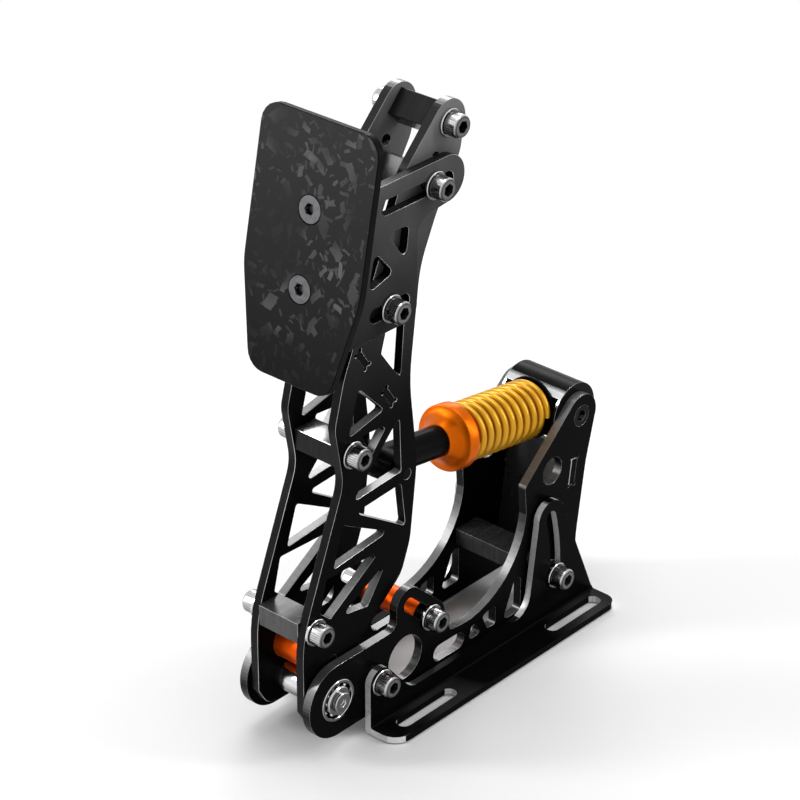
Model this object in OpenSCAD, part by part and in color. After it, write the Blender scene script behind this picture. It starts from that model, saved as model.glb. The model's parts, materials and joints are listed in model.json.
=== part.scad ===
// Sim racing pedal module: a plate-built pedal arm on a tilting plate frame, with a coil spring behind it.
// Millimetres. X runs across the pedal, Y away from the driver, Z up from the deck it is bolted to.
// Side views are drawn as [y, z] from the pedal pivot, and pivot_z lifts them above the deck.

/* [Side plates] */
// Thickness of the two pedal arm plates
arm_t = 4; // [3:0.5:6]
// Thickness of the two frame plates
frame_t = 4; // [3:0.5:6]
// Thickness of the two sliding plates that carry the face plate
carrier_t = 4; // [3:0.5:6]
// Thickness of the upright leg of each mounting bracket
bracket_t = 3; // [2.5:0.5:6]
// Length of the crossbars between the arm plates
crossbar_len = 22; // [18:1:30]
// Side play between an arm plate and a frame plate
arm_side_gap = 1; // [0.8:0.1:2]
// Gap between two flat faces that slide on each other
slide_gap = 0.15; // [0.1:0.05:0.3]
// Thickness of the spacer washers between frame plates and brackets
spacer_t = 1; // [0.5:0.1:2]

/* [Pedal pivot] */
// Height of the pivot axis above the deck
pivot_z = 23.5; // [21:0.5:30]
// Radius of the round ears of the frame plates
ear_r = 17; // [15:0.5:19]
// Radius of the lower ends of the arm plates
arm_end_r = 15; // [12:0.5:16]
// Flat lower end of the arm plates below the pivot
arm_end_low = 11; // [9:0.5:15]
// Outer radius of the pivot ball bearings
bearing_r = 9.5; // [8:0.5:11]
// Width of the pivot ball bearings
bearing_w = 5; // [4:0.5:7]
// Radius of the pivot shaft in the bearings
shaft_r = 5; // [4:0.5:6]
// Radius of the pivot shaft between the arm plates
shaft_body_r = 6.5; // [5.5:0.5:7.2]
// Radius of a bearing ball
ball_r = 1.2; // [0.8:0.1:1.5]
// Balls in each bearing
ball_count = 10; // [7:1:12]
// Thickness of the shim between arm plate and bearing
shim_t = 0.5; // [0.3:0.1:1]
// Thickness of the washers on the ends of the pivot shaft
end_washer_t = 0.6; // [0.4:0.1:1]
// Radius and height of the heads of the pivot end screws
end_head = [4.5, 2]; // [1:0.5:6]

/* [Pedal arm] */
// Bolt at the top of the arm, from the pivot
top_bolt = [73.2, 234.5]; // [0:0.1:300]
// Upper bolt of the face carrier, from the pivot
upper_bolt = [60, 213.2]; // [0:0.1:300]
// Lower bolt of the face carrier, from the pivot
lower_bolt = [34, 168.8]; // [0:0.1:300]
// Bolt at the middle of the arm, from the pivot
middle_bolt = [15.4, 108.6]; // [0:0.1:300]
// Bolt at the foot of the arm, from the pivot
foot_bolt = [-7.8, 35.3]; // [-50:0.1:50]
// Middle of the arm web's upper tabs, from the lower carrier bolt
arm_web_from_lower = [-12, -19.8]; // [-40:0.1:20]
// Distance from the arm web's upper tabs to its lower ones
arm_web_gap = 27.6; // [20:0.1:40]
// Lean of the arm web away from the driver; below zero it leans towards the driver
arm_web_lean = -34.2; // [-60:0.1:0]
// Thickness of the arm web
arm_web_t = 3; // [2:0.5:4]
// Length of the arm web's tabs
arm_web_tab = 9.5; // [6:0.5:12]
// Length of the arm web beyond its tabs
arm_web_over = 2; // [0.5:0.5:3]
// Pin that holds the push rod, from the pivot
rod_pin = [48.5, 85.3]; // [0:0.1:120]
// Spacer tube above the pivot, from the pivot
arm_spacer_at = [2, 16.2]; // [-20:0.1:40]
// Radius of the arm's rounded top
arm_top_r = 9.8; // [9:0.1:13]
// Crossbar depth along Y and height along Z
crossbar_size = [12, 9.5]; // [8:0.5:14]
// Radius of the spacer tube above the pivot
arm_spacer_r = 8; // [6:0.5:8.5]
// Radius of the push rod's pin
rod_pin_r = 2.5; // [2:0.5:4]

/* [Fasteners] */
// Radius of the M6 bolt shanks
bolt_r = 3; // [2.5:0.5:4]
// Radius of the cap screw heads
head_r = 5; // [4.5:0.5:6.5]
// Height of the cap screw heads
head_h = 6; // [4:0.5:8]
// Radius of the plain washers
washer_r = 6; // [5.5:0.5:8]
// Thickness of the plain washers
washer_t = 1.2; // [0.8:0.1:2]
// Length of shank that is screwed into a crossbar or tube
thread_grip = 8; // [6:0.5:9]
// Radial clearance of a bolt in a plain hole
hole_clear = 0.3; // [0.2:0.05:0.6]
// Radial clearance of a pin or journal that turns
running_clear = 0.05; // [0.02:0.01:0.1]
// Radius of the countersunk and end screws
small_r = 2.5; // [2:0.5:3]

/* [Tilting frame] */
// Distance from the pedal pivot back to the tilt bolt
tilt_bolt_y = 22; // [20:0.5:30]
// Radius from the tilt bolt to the rear clamp bolt
tilt_r = 115; // [105:1:125]
// Angle of the rear clamp bolt when the frame is level
level_angle = -0.5; // [-3:0.5:3]
// Arc of the bracket slot that the rear bolt moves along
tilt_span = 15.6; // [12:0.2:18]
// Spring trunnion, from the pivot
trunnion_at = [157.5, 69.5]; // [60:0.1:200]
// Radius of the tower tops round the trunnion
tower_r = 10; // [8:0.5:13]
// Middle of the round cut-out under the spring, from the pivot
cutout_at = [80.8, 39.5]; // [30:0.1:100]
// Radius of the round cut-out under the spring
cutout_r = 40.2; // [34:0.1:42]
// Angle at which the cut-out ends under the stop horn
cutout_end = -104; // [-110:1:-95]
// Radius of the spacer tubes between the frame plates
frame_tube_r = 5.5; // [5:0.5:7]
// Middle of the rear crossbar, from the rear clamp bolt
frame_bar_from_clamp = [-14.1, 13]; // [-30:0.1:30]
// Depth along Y and height along Z of the rear crossbar
frame_bar_size = [14.2, 8]; // [8:0.1:20]
// How far the rear crossbar's screws sit behind its middle
frame_bar_screw = 4; // [0:0.5:4]
// How far the tower web's tabs sit behind the rear clamp bolt
web_behind_clamp = 15.5; // [12:0.5:18]
// How far the tower web's tabs sit below the trunnion
web_below_trunnion = 26; // [20:0.5:32]
// Length of the tower web above and below its tabs
web_reach = [10, 54]; // [5:1:60]
// Lean of the tower web away from the driver
web_lean = 8; // [0:1:15]
// Thickness of the tower web
web_t = 4; // [3:0.5:5]
// Length of the tower web's tabs
web_tab = 13; // [8:1:20]
// Radius of the relief drilled at each corner of a tab slot
relief_r = 0.9; // [0.5:0.1:1.5]

/* [Travel stop] */
// Stop tube as it stands in its slots, from the pivot
stop_at = [57.6, 13.3]; // [40:0.1:70]
// Direction in which the stop slots climb forwards, above level
stop_slope = 43; // [30:1:60]
// Slot length above the stop tube
stop_up = 18; // [12:0.5:20]
// Slot length below the stop tube
stop_down = 2; // [1:0.5:3]
// Radius of the stop tube
stop_r = 6; // [5:0.5:7]

/* [Mounting brackets] */
// Overall width over the two flanges
base_w = 78; // [74:1:110]
// Thickness of the flanges
flange_t = 3; // [2.5:0.5:6]
// Front end of the flanges, behind the pivot
flange_front = 15.5; // [10:0.5:18]
// Length of the flanges
flange_len = 148.5; // [140:0.5:170]
// Distance across between the flange slots
slot_across = 62.5; // [60:0.5:90]
// Distance between the front and rear flange slots
slot_spacing = 98.5; // [80:0.5:110]
// End-to-end length of a flange slot
slot_len = 35.5; // [20:0.5:40]
// How far the slots sit behind the middle of the flange
slot_shift = 2.5; // [-5:0.5:5]
// Radius of the flange slots
slot_r = 3.4; // [3:0.1:4.5]

/* [Face plate] */
// Lower screw of the face plate, on its front, from the pivot
face_at = [2.2, 182.5]; // [-10:0.1:250]
// Lean of the face plate away from the driver
face_lean = 11.5; // [5:0.5:20]
// Distance between the two face plate screws
face_screw_gap = 32.7; // [25:0.1:40]
// Width of the face plate
face_w = 61.5; // [52:0.5:80]
// Height of the face plate above its lower screw
face_up = 69.4; // [60:0.1:80]
// Height of the face plate below its lower screw
face_down = 39.1; // [30:0.1:45]
// Thickness of the face plate
face_t = 3.5; // [3.4:0.1:5]
// Square section of the two face crossbars
face_bar = 10; // [9:0.5:12]
// How far the face carrier slides each way
face_slide = 8; // [4:1:8]
// Reach of the carrier plates above and below the lower screw
carrier_reach = [42, 23.3]; // [20:0.1:50]

/* [Spring and push rod] */
// Radius of the push rod
rod_r = 4; // [3:0.5:5]
// Radius of the push rod's eye and neck
eye_r = 7; // [6:0.5:7.5]
// Distance from the rod pin to the front of the spring cap
cap_s = 42; // [36:0.5:44]
// Length of push rod screwed into its eye
rod_socket = 20; // [15:1:25]
// Rim radius of the spring cap
cap_r = 14.8; // [13.5:0.1:15.2]
// Rim thickness of the spring cap
cap_t = 5; // [3:0.5:7]
// Length of the cap's cone in front of its rim
cap_cone = 6; // [4:0.5:8]
// Length of the cap's spigot inside the spring
cap_spigot = 4; // [3:0.5:6]
// Outer radius of the coil spring
spring_r = 13.6; // [11:0.1:14.4]
// Wire thickness of the coil spring
wire_d = 3.4; // [2.5:0.1:3.6]
// Turns of the coil spring
turns = 10; // [7:1:10]
// Clear gap between the closed end turns
end_turn_gap = 0.7; // [0.5:0.1:1.2]
// Radius of the trunnion bar
trunnion_r = 14; // [12:0.5:15]
// Distance of the trunnion's rear flat from its axis
trunnion_flat = 9.5; // [8:0.5:12]
// Distance of the trunnion's spring flat from its axis
spring_flat = 11; // [10:0.5:13]
// Radius of the trunnion's journals
journal_r = 5; // [4:0.5:6]
// Radial clearance of the push rod in the trunnion
rod_clear = 0.9; // [0.6:0.1:1.5]
// Thickness of the washer that the spring presses on
seat_t = 1.5; // [1:0.1:3]
// Thickness of the rebound washer
bump_t = 2.5; // [1.5:0.1:4]
// Height of the lock nut
nut_h = 6.5; // [4:0.5:8]
// Corner radius of the lock nut
nut_r = 7.5; // [6:0.5:9]
// Length of rod that stands out of the lock nut
rod_tip = 1; // [0.5:0.5:5]

/* [Angle sensor] */
// Width of the angle sensor across the pedal
sensor_w = 7; // [5:0.5:8]
// Height of the angle sensor's nose
sensor_h = 10; // [8:0.5:12]
// Gap between the magnet ring and the sensor
sensor_gap = 0.5; // [0.3:0.1:1]
// Wall of the ring that clamps the sensor to its tube
sensor_wall = 2.5; // [1.5:0.5:4]
// Radial thickness of the magnet ring
magnet_t = 1; // [0.8:0.1:2]
// Width of the magnet ring
magnet_w = 5; // [3:0.5:6]

/* [Hidden] */
$fn = 64;

// Half widths of the stack across the pedal, from the middle outwards
arm_in = crossbar_len / 2;
arm_out = arm_in + arm_t;
carrier_in = arm_out + slide_gap;
carrier_out = carrier_in + carrier_t;
frame_in = arm_out + arm_side_gap;
frame_out = frame_in + frame_t;
bracket_in = frame_out + slide_gap + spacer_t;
bracket_out = bracket_in + bracket_t;

// Tilt bolt and rear clamp bolt, from the pivot
tilt_bolt = [tilt_bolt_y, 0];
clamp_bolt = tilt_bolt + tilt_r * [cos(level_angle), sin(level_angle)];
slot_w = 2 * (bolt_r + hole_clear);

// Rear crossbar of the frame, the screws that hold it, and the tabs of the tower web
frame_bar_at = clamp_bolt + frame_bar_from_clamp;
frame_bar_screw_at = frame_bar_at + [frame_bar_screw, 0];
web_at = [tilt_bolt_y + tilt_r + web_behind_clamp, trunnion_at[1] - web_below_trunnion];

// Middles of the arm web's tabs
arm_web_up = lower_bolt + arm_web_from_lower;
arm_web_down = arm_web_up - arm_web_gap * [sin(arm_web_lean), cos(arm_web_lean)];

// Push rod line, from its pin to the trunnion
rod_line = trunnion_at - rod_pin;
rod_len = norm(rod_line);
rod_angle = atan2(rod_line[1], rod_line[0]);
spring_start = cap_s + cap_t;
spring_len = rod_len - spring_flat - seat_t - spring_start;
rod_end = rod_len + trunnion_flat + bump_t + nut_h + rod_tip;

// The origin lies in the middle of the overall length
rear_y = rod_pin[0] + rod_end * cos(rod_angle) + rod_r * abs(sin(rod_angle));
origin_y = (rear_y - ear_r) / 2;

// Colours
black = [0.07, 0.07, 0.075];
steel = [0.72, 0.72, 0.74];
orange = [0.9, 0.35, 0.04];
yellow = [0.93, 0.66, 0.08];
carbon = [0.12, 0.12, 0.13];

// Points of a rounded corner b between its neighbours a and c
function corner(a, b, c, r, n) =
    r == 0 ? [[b[0], b[1]]] :
    let (p = [b[0], b[1]], u = [a[0], a[1]] - p, v = [c[0], c[1]] - p,
         ul = norm(u), vl = norm(v), un = u / ul, vn = v / vl,
         half = acos(max(-1, min(1, un * vn))) / 2,
         t = min(r / tan(half), 0.48 * ul, 0.48 * vl),
         rr = t * tan(half), m = (un + vn) / norm(un + vn), o = p + m * rr / sin(half),
         s = p + un * t - o, e = p + vn * t - o, a0 = atan2(s[1], s[0]),
         turn = atan2(s[0] * e[1] - s[1] * e[0], s * e))
    [for (i = [0:n]) o + rr * [cos(a0 + turn * i / n), sin(a0 + turn * i / n)]];

// An outline of [y, z, corner radius] points with its corners rounded
function rounded(p, n = 5) =
    [for (i = [0:len(p) - 1])
        each corner(p[(i + len(p) - 1) % len(p)], p[i], p[(i + 1) % len(p)], p[i][2], n)];

// An outline point placed from a bolt or pin
function from(b, dy, dz, r = 0) = [b[0] + dy, b[1] + dz, r];

// Points on an arc round c
function arc(c, r, a0, a1, n) =
    [for (i = [0:n]) [c[0] + r * cos(a0 + (a1 - a0) * i / n), c[1] + r * sin(a0 + (a1 - a0) * i / n), 0]];

// Side view shapes stand up in the Y-Z plane and are thickened along X
module side_plate(x0, t) {
    translate([x0, 0, 0]) rotate([90, 0, 90]) linear_extrude(t) children();
}

// Round bar along X at a side view point
module bar(p, x0, x1, r) {
    translate([x0, p[0], p[1]]) rotate([0, 90, 0]) cylinder(h = x1 - x0, r = r);
}

// Hole through a plate that lies between x0 and x1
module drill(p, x0, x1, r) {
    bar(p, x0 - 1, x1 + 1, r);
}

// Straight slot in the side view between two centre points
module slot2d(p, q, r) {
    d = (q - p) / norm(q - p);
    w = [-d[1], d[0]] * r;
    translate(p) circle(r);
    translate(q) circle(r);
    polygon([p + w, q + w, q - w, p - w]);
}

module both_sides() {
    children();
    mirror([1, 0, 0]) children();
}

// Everything that hangs on the pivot
module at_pivot() {
    translate([0, -origin_y, pivot_z]) children();
}

// Everything that stands on the deck
module on_deck() {
    translate([0, -origin_y, 0]) children();
}

// Places its children with +Z along the push rod, at distance s from the rod pin
module on_rod(s) {
    at_pivot() translate([0, rod_pin[0], rod_pin[1]]) rotate([rod_angle, 0, 0])
        translate([0, s, 0]) rotate([-90, 0, 0]) children();
}

// Cap screw on the +X side, with its head on the face at seat
module cap_screw(p, seat, tip) {
    difference() {
        union() {
            bar(p, seat, seat + head_h, head_r);
            bar(p, tip, seat, bolt_r);
        }
        translate([seat + head_h - 3, p[0], p[1]]) rotate([0, 90, 0]) cylinder(h = 4, r = 2.9, $fn = 6);
    }
}

module washer(p, seat) {
    difference() {
        bar(p, seat, seat + washer_t, washer_r);
        drill(p, seat, seat + washer_t, bolt_r + 0.2);
    }
}

// Block between two plates, tapped for a bolt at each end
module crossbar(p, half, size, turn = 0) {
    difference() {
        translate([-half, p[0], p[1]]) rotate([turn, 0, 0])
            translate([0, -size[0] / 2, -size[1] / 2]) cube([2 * half, size[0], size[1]]);
        both_sides() bar(p, half - thread_grip - 1, half + 1, bolt_r);
    }
}

// Tube between two plates, bored through and taking a bolt at each end
module plate_tube(p, half, r) {
    difference() {
        bar(p, -half, half, r);
        drill(p, -half, half, bolt_r);
    }
}

// Pedal arm, side view
module arm_outline() {
    polygon(rounded(concat([
        [arm_end_r * cos(20), -arm_end_r * sin(20), 0],
        [arm_end_r * cos(40), -arm_end_low, 6],
        [-arm_end_r * cos(50), -arm_end_low, 6],
        [-arm_end_r, -2, 0],
        from(foot_bolt, -7.2, -1.3, 60),
        from(middle_bolt, -5.2, -11.6, 20),
        from(middle_bolt, -9.9, 15, 12),
        from(lower_bolt, -23, -24.8, 60),
        from(upper_bolt, -13.4, 8.3, 30)],
        arc(top_bolt, arm_top_r, 136, -26, 16), [
        from(top_bolt, 6.8, -14.5, 15),
        from(upper_bolt, 6, -15.2, 60),
        from(lower_bolt, 22.3, 9.2, 50),
        from(middle_bolt, 34.6, 20.4, 80),
        from(rod_pin, 6.3, 3.7, 60),
        from(rod_pin, 2, -32.3, 30),
        from(rod_pin, -3.5, -46.3, 14),
        [arm_end_r + 2, 17, 14]])));
}

// Truss windows of the pedal arm
module arm_windows() {
    r = 1.2;
    for (w = [
        [from(lower_bolt, 2.3, -10.8, r), from(lower_bolt, 12.8, -10.8, r), from(lower_bolt, 10.5, -37.3, r),
            from(lower_bolt, -1, -21.5, r)],
        [from(middle_bolt, 4.1, 28.4, r), from(middle_bolt, 19.2, 12.8, r), from(middle_bolt, -1.9, 8.2, r)],
        [from(middle_bolt, 5.6, 6.2, r), from(middle_bolt, 20.6, 4.9, r), from(middle_bolt, 11.6, -5.6, r)],
        [from(rod_pin, -33.1, 0.8, r), from(rod_pin, -3.6, 2.9, r), from(rod_pin, -4.6, 29.3, r)],
        [from(rod_pin, -31.8, -4.7, r), from(rod_pin, -3.6, -2.9, r), from(rod_pin, -0.9, -24.4, r)],
        [from(rod_pin, -38.8, -7.3, r), from(rod_pin, -44.9, -25.7, r), from(rod_pin, -11.5, -22.3, r)],
        [from(foot_bolt, 7.4, 21.7, r), from(foot_bolt, 39.3, 20.5, r), from(foot_bolt, 9.3, 1.7, r),
            from(foot_bolt, 3.6, 6.7, r)],
        [from(foot_bolt, 43.6, 13.7, r), from(foot_bolt, 16.3, 0, r), from(foot_bolt, 31.8, -2.7, r)]])
        polygon(rounded(w, 3));
}

module arm_plate() {
    difference() {
        side_plate(arm_in, arm_t) difference() {
            arm_outline();
            arm_windows();
            for (p = [arm_web_up, arm_web_down]) tab_slot(p, arm_web_lean, arm_web_tab, arm_web_t);
        }
        for (b = [top_bolt, upper_bolt, lower_bolt, middle_bolt, foot_bolt])
            drill(b, arm_in, arm_out, bolt_r + hole_clear);
        drill([0, 0], arm_in, arm_out, shaft_r);
        drill(rod_pin, arm_in, arm_out, rod_pin_r);
        drill(arm_spacer_at, arm_in, arm_out, bolt_r);
        drill((top_bolt + upper_bolt) / 2 + [-1.6, -1.8], arm_in, arm_out, 2.5);
    }
}

// Frame plate, side view: ear, lower band, stop horn and spring tower
module frame_outline() {
    low = ear_r;
    rise = [-cos(stop_slope), sin(stop_slope)];
    horn_r = bolt_r + 5;
    horn = stop_at + stop_up * rise;
    horn_root = stop_at - stop_down * rise;
    top_in = trunnion_at + tower_r * [-0.653, 0.757];
    rear_low = clamp_bolt[0] + 19;
    polygon(rounded(concat([
        [0, -low, 0],
        [rear_low, -low, 4],
        [rear_low, 9, 60],
        [rear_low + 5.5, 45, 80],
        [trunnion_at[0] + tower_r, trunnion_at[1] - 1, 0],
        [trunnion_at[0], trunnion_at[1], 0],
        [top_in[0], top_in[1], 0],
        [cutout_at[0] + cutout_r * 0.97, cutout_at[1] + cutout_r * 0.243, 3]],
        arc(cutout_at, cutout_r, -6, cutout_end, 16),
        arc(horn_root, horn_r, -20, 90 - stop_slope, 8), arc(horn, horn_r, 90 - stop_slope, 180, 8),
        [[horn[0] - horn_r, ear_r, 6],
        [0, ear_r, 0]])));
    circle(ear_r);
    translate(trunnion_at) circle(tower_r);
}

// Openings that lighten the frame plates
module frame_windows() {
    r = 1.5;
    under = [cutout_at[0], cutout_at[1] - cutout_r];
    translate(tilt_bolt + [19.8, 0.5]) circle(10.5);
    slot2d(under - [16.8, 7.3], under - [4.8, 7.3], 4);
    polygon(rounded([from(under, 2.2, -10.3, r), from(under, 11.2, -10.3, r), from(under, 4.7, -2.3, r)], 3));
    polygon(rounded([from(under, 14.7, -10.3, r), from(under, 20.2, -10.3, r), from(under, 20.2, -0.3, r),
        from(under, 11.2, -2.3, r)], 3));
    polygon(rounded([from(under, 25.2, -11.3, 2), from(under, 37.2, -11.3, 2), from(under, 37.2, 6.7, 2),
        from(under, 32.7, 5.7, 2)], 3));
    translate(clamp_bolt + [1, 51]) circle(6.5);
}

// Sheet across the pedal in side view, which reaches up and down from p and leans away from the driver
module leaning(p, lean, up, down, t) {
    translate(p) rotate(-lean) translate([-t / 2, -down]) square([t, up + down]);
}

// Slot in a plate for the tab of a sheet, with a drilled relief at each corner
module tab_slot(p, lean, tab, t) {
    half = tab / 2 + running_clear;
    w = t / 2 + running_clear;
    leaning(p, lean, half, half, 2 * w);
    translate(p) rotate(-lean) for (u = [-w, w], v = [-half, half]) translate([u, v]) circle(relief_r, $fn = 24);
}

module frame_plate() {
    rise = [-cos(stop_slope), sin(stop_slope)];
    difference() {
        side_plate(frame_in, frame_t) difference() {
            frame_outline();
            frame_windows();
            slot2d(stop_at - stop_down * rise, stop_at + stop_up * rise, bolt_r + hole_clear);
            tab_slot(web_at, web_lean, web_tab, web_t);
        }
        drill([0, 0], frame_in, frame_out, bearing_r);
        drill(tilt_bolt, frame_in, frame_out, bolt_r + hole_clear);
        drill(clamp_bolt, frame_in, frame_out, bolt_r + hole_clear);
        drill(trunnion_at, frame_in, frame_out, journal_r + running_clear);
        drill(frame_bar_screw_at, frame_in, frame_out, small_r + hole_clear);
        sunk_head(frame_bar_screw_at, frame_out, small_r, 0.1);
    }
}

// Countersunk head on the +X side, flush with the face at x; extra widens it into its seat
module sunk_head(p, x, r, extra = 0) {
    translate([x - r - extra, p[0], p[1]]) rotate([0, 90, 0])
        cylinder(h = r + extra, r1 = r, r2 = 2 * r + extra);
}

module sunk_screw(p, face, tip, r) {
    difference() {
        union() {
            sunk_head(p, face, r);
            bar(p, tip, face - r, r);
        }
        translate([face - 0.6 * r, p[0], p[1]]) rotate([0, 90, 0]) cylinder(h = r, r = 0.65 * r, $fn = 6);
    }
}

// Mounting bracket, upright leg in side view above the deck
module bracket_outline() {
    lobe = bolt_r + 3.5;
    top_lobe = bolt_r + 5.5;
    rail = pivot_z - 12.5;
    front = [tilt_bolt[0], pivot_z];
    up = level_angle + tilt_span;
    top = front + tilt_r * [cos(up), sin(up)];
    foot_rear = flange_front + flange_len;
    upright = tilt_bolt[0] + tilt_r - 18.5;
    polygon(rounded([
        [flange_front, 0, 0],
        [front[0] - lobe, 0.5 * front[1], 0],
        [front[0] - lobe, front[1], 0],
        [front[0], front[1], 0],
        [front[0] + 0.75 * lobe, front[1] + 0.66 * lobe, 0],
        [front[0] + 19, rail, 10],
        [upright, rail, 10],
        [top[0] - top_lobe, top[1] - 1, 0],
        [top[0], top[1], 0],
        [top[0] + 0.91 * top_lobe, top[1] + 0.42 * top_lobe, 0],
        [foot_rear, flange_t, 0],
        [foot_rear, 0, 0]]));
    translate(front) circle(lobe);
    translate(top) circle(top_lobe);
}

// Arc slot round the tilt bolt, drawn as a ring sector with round ends
module tilt_slot() {
    c = [tilt_bolt[0], pivot_z];
    lo = level_angle - 0.2;
    hi = level_angle + tilt_span;
    w = slot_w / 2;
    polygon(concat([for (a = arc(c, tilt_r + w, lo, hi, 12)) [a[0], a[1]]],
        [for (a = arc(c, tilt_r - w, hi, lo, 12)) [a[0], a[1]]]));
    for (a = [lo, hi]) translate(c + tilt_r * [cos(a), sin(a)]) circle(w);
}

module mounting_bracket() {
    half_w = base_w / 2;
    bend = 1;
    mid = flange_front + flange_len / 2 + slot_shift;
    difference() {
        union() {
            side_plate(bracket_in, bracket_t) bracket_outline();
            linear_extrude(flange_t) polygon(rounded([
                [bracket_in, flange_front, 0], [half_w, flange_front, 9],
                [half_w, flange_front + flange_len, 6], [bracket_in, flange_front + flange_len, 0]]));
            // Inside bend between the flange and the upright leg
            translate([0, flange_front + flange_len, 0]) rotate([90, 0, 0]) linear_extrude(flange_len)
                polygon(concat([[bracket_out - 1, flange_t - 1], [bracket_out + bend, flange_t - 1]],
                [for (a = [-90:-18:-180]) [bracket_out + bend + bend * cos(a), flange_t + bend + bend * sin(a)]],
                [[bracket_out - 1, flange_t + bend]]));
        }
        side_plate(bracket_in - 1, bracket_t + 2) tilt_slot();
        drill([tilt_bolt[0], pivot_z], bracket_in, bracket_out + bend, bolt_r + running_clear);
        for (y = [mid - slot_spacing / 2, mid + slot_spacing / 2])
            translate([slot_across / 2, y, -1]) {
                reach = slot_len / 2 - slot_r;
                for (s = [-reach, reach]) translate([0, s, 0]) cylinder(h = flange_t + 2, r = slot_r);
                translate([-slot_r, -reach, 0]) cube([2 * slot_r, 2 * reach, flange_t + 2]);
            }
    }
}

// Sliding plate that carries the face plate, side view
face_dir = [sin(face_lean), cos(face_lean)];
face_in = [cos(face_lean), -sin(face_lean)];
bar_in = face_t + face_bar / 2;
lower_bar = face_at + bar_in * face_in;
upper_bar = lower_bar + face_screw_gap * face_dir;

module carrier_outline() {
    lobe_r = bolt_r + 7;
    lobe = upper_bolt + [face_slide, 0];
    foot = face_at + face_t * face_in - carrier_reach[1] * face_dir;
    head = face_at + face_t * face_in + carrier_reach[0] * face_dir;
    polygon(rounded([
        [head[0], head[1], 6],
        [foot[0], foot[1], 4],
        [lower_bolt[0] + 15.7, foot[1], 6],
        [lower_bolt[0] + 15.7, upper_bolt[1] - 12, 8],
        [lobe[0], lobe[1] - lobe_r, 0],
        [lobe[0], lobe[1], 0],
        [lobe[0], lobe[1] + lobe_r, 0]]));
    translate(lobe) circle(lobe_r);
}

module face_carrier() {
    difference() {
        side_plate(carrier_in, carrier_t) difference() {
            carrier_outline();
            slot2d(upper_bolt - [28, 0], upper_bolt + [face_slide, 0], bolt_r + hole_clear);
            slot2d(lower_bolt - [face_slide + 1, 0], lower_bolt + [face_slide, 0], bolt_r + hole_clear);
            polygon(rounded([from(lower_bolt, -2.5, 33.7, 2), from(lower_bolt, 11, 32.2, 2),
                from(lower_bolt, 9, 17.7, 2)], 3));
            polygon(rounded([from(lower_bolt, -9, 27.7, 2), from(lower_bolt, 2, 15.2, 2),
                from(lower_bolt, -13, 11.2, 2)], 3));
        }
        for (b = [lower_bar, upper_bar]) {
            drill(b, carrier_in, carrier_out, small_r + hole_clear);
            sunk_head(b, carrier_out, small_r, 0.1);
        }
    }
}

// Square bar between the carrier plates, tapped for the side screws and for the face plate screw
module face_crossbar(p) {
    difference() {
        translate([-carrier_in, p[0], p[1]]) rotate([-face_lean, 0, 0])
            translate([0, -face_bar / 2, -face_bar / 2]) cube([2 * carrier_in, face_bar, face_bar]);
        both_sides() bar(p, carrier_in - 9, carrier_in + 1, small_r);
        translate([0, p[0], p[1]]) rotate([-face_lean, 0, 0]) rotate([90, 0, 0])
            translate([0, 0, -face_bar / 2 + 1]) cylinder(h = face_bar + 1, r = bolt_r);
    }
}

// Places its children with +Z out of the face plate's front, at height up above the lower screw
module on_face(up) {
    p = face_at + up * face_dir;
    translate([0, p[0], p[1]]) rotate([-face_lean, 0, 0]) rotate([90, 0, 0]) children();
}

module face_sheet() {
    half = face_w / 2;
    waist = half - 9.1;
    at_pivot() on_face(0) translate([0, 0, -face_t]) difference() {
        linear_extrude(face_t) polygon(rounded([
            [half, face_up, 9], [half + 0.3, 3, 40], [waist, -face_down, 9],
            [-waist, -face_down, 9], [-half - 0.3, 3, 40], [-half, face_up, 9]]));
        for (u = [0, face_screw_gap]) translate([0, u, -1]) {
            cylinder(h = face_t + 2, r = bolt_r + hole_clear);
            translate([0, 0, face_t + 1 - bolt_r - 0.1])
                cylinder(h = bolt_r + 0.1, r1 = bolt_r, r2 = 2 * bolt_r + 0.1);
        }
    }
}

module face_screw(up) {
    at_pivot() on_face(up) difference() {
        union() {
            translate([0, 0, -bolt_r]) cylinder(h = bolt_r, r1 = bolt_r, r2 = 2 * bolt_r);
            translate([0, 0, -face_t - face_bar + 1.5])
                cylinder(h = face_bar - 1.5 + face_t - bolt_r, r = bolt_r);
        }
        translate([0, 0, -2]) cylinder(h = 3, r = 2.3, $fn = 6);
    }
}

// Rings of a ball bearing, lathed round X; the balls run in a round groove
pitch_r = (bearing_r + shaft_r) / 2;
race_clear = 0.08;
inner_ring_r = pitch_r - 0.75 * ball_r;
outer_ring_r = pitch_r + 0.75 * ball_r;
bearing_x = arm_out + shim_t;

module bearing_ring(r0, r1) {
    translate([bearing_x, 0, 0]) rotate([0, 90, 0]) rotate_extrude() difference() {
        translate([r0, 0]) square([r1 - r0, bearing_w]);
        translate([pitch_r, bearing_w / 2]) circle(ball_r + race_clear, $fn = 32);
    }
}

// Wire spring along +Z from 0 to spring_len, one unbroken tube of 8 rings a turn and 6 sides
wire_r = wire_d / 2;
coil_r = spring_r - wire_r;
end_pitch = wire_d + end_turn_gap;
mid_pitch = (spring_len - wire_d - 2 * end_pitch) / (turns - 2);
rings = 8 * turns;

function coil_z(t) = wire_r + (t < 1 ? end_pitch * t :
    t < turns - 1 ? end_pitch + mid_pitch * (t - 1) :
    end_pitch + mid_pitch * (turns - 2) + end_pitch * (t - turns + 1));
function coil_point(i) = let (a = 45 * i) [coil_r * cos(a), coil_r * sin(a), coil_z(i / 8)];
function coil_ring(i) =
    let (a = 45 * i, climb = atan(mid_pitch / (2 * PI * coil_r)), n = [cos(a), sin(a), 0],
         b = [sin(climb) * sin(a), -sin(climb) * cos(a), cos(climb)])
    [for (k = [0:5]) coil_point(i) + wire_r * (cos(30 + 60 * k) * n + sin(30 + 60 * k) * b)];

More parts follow.
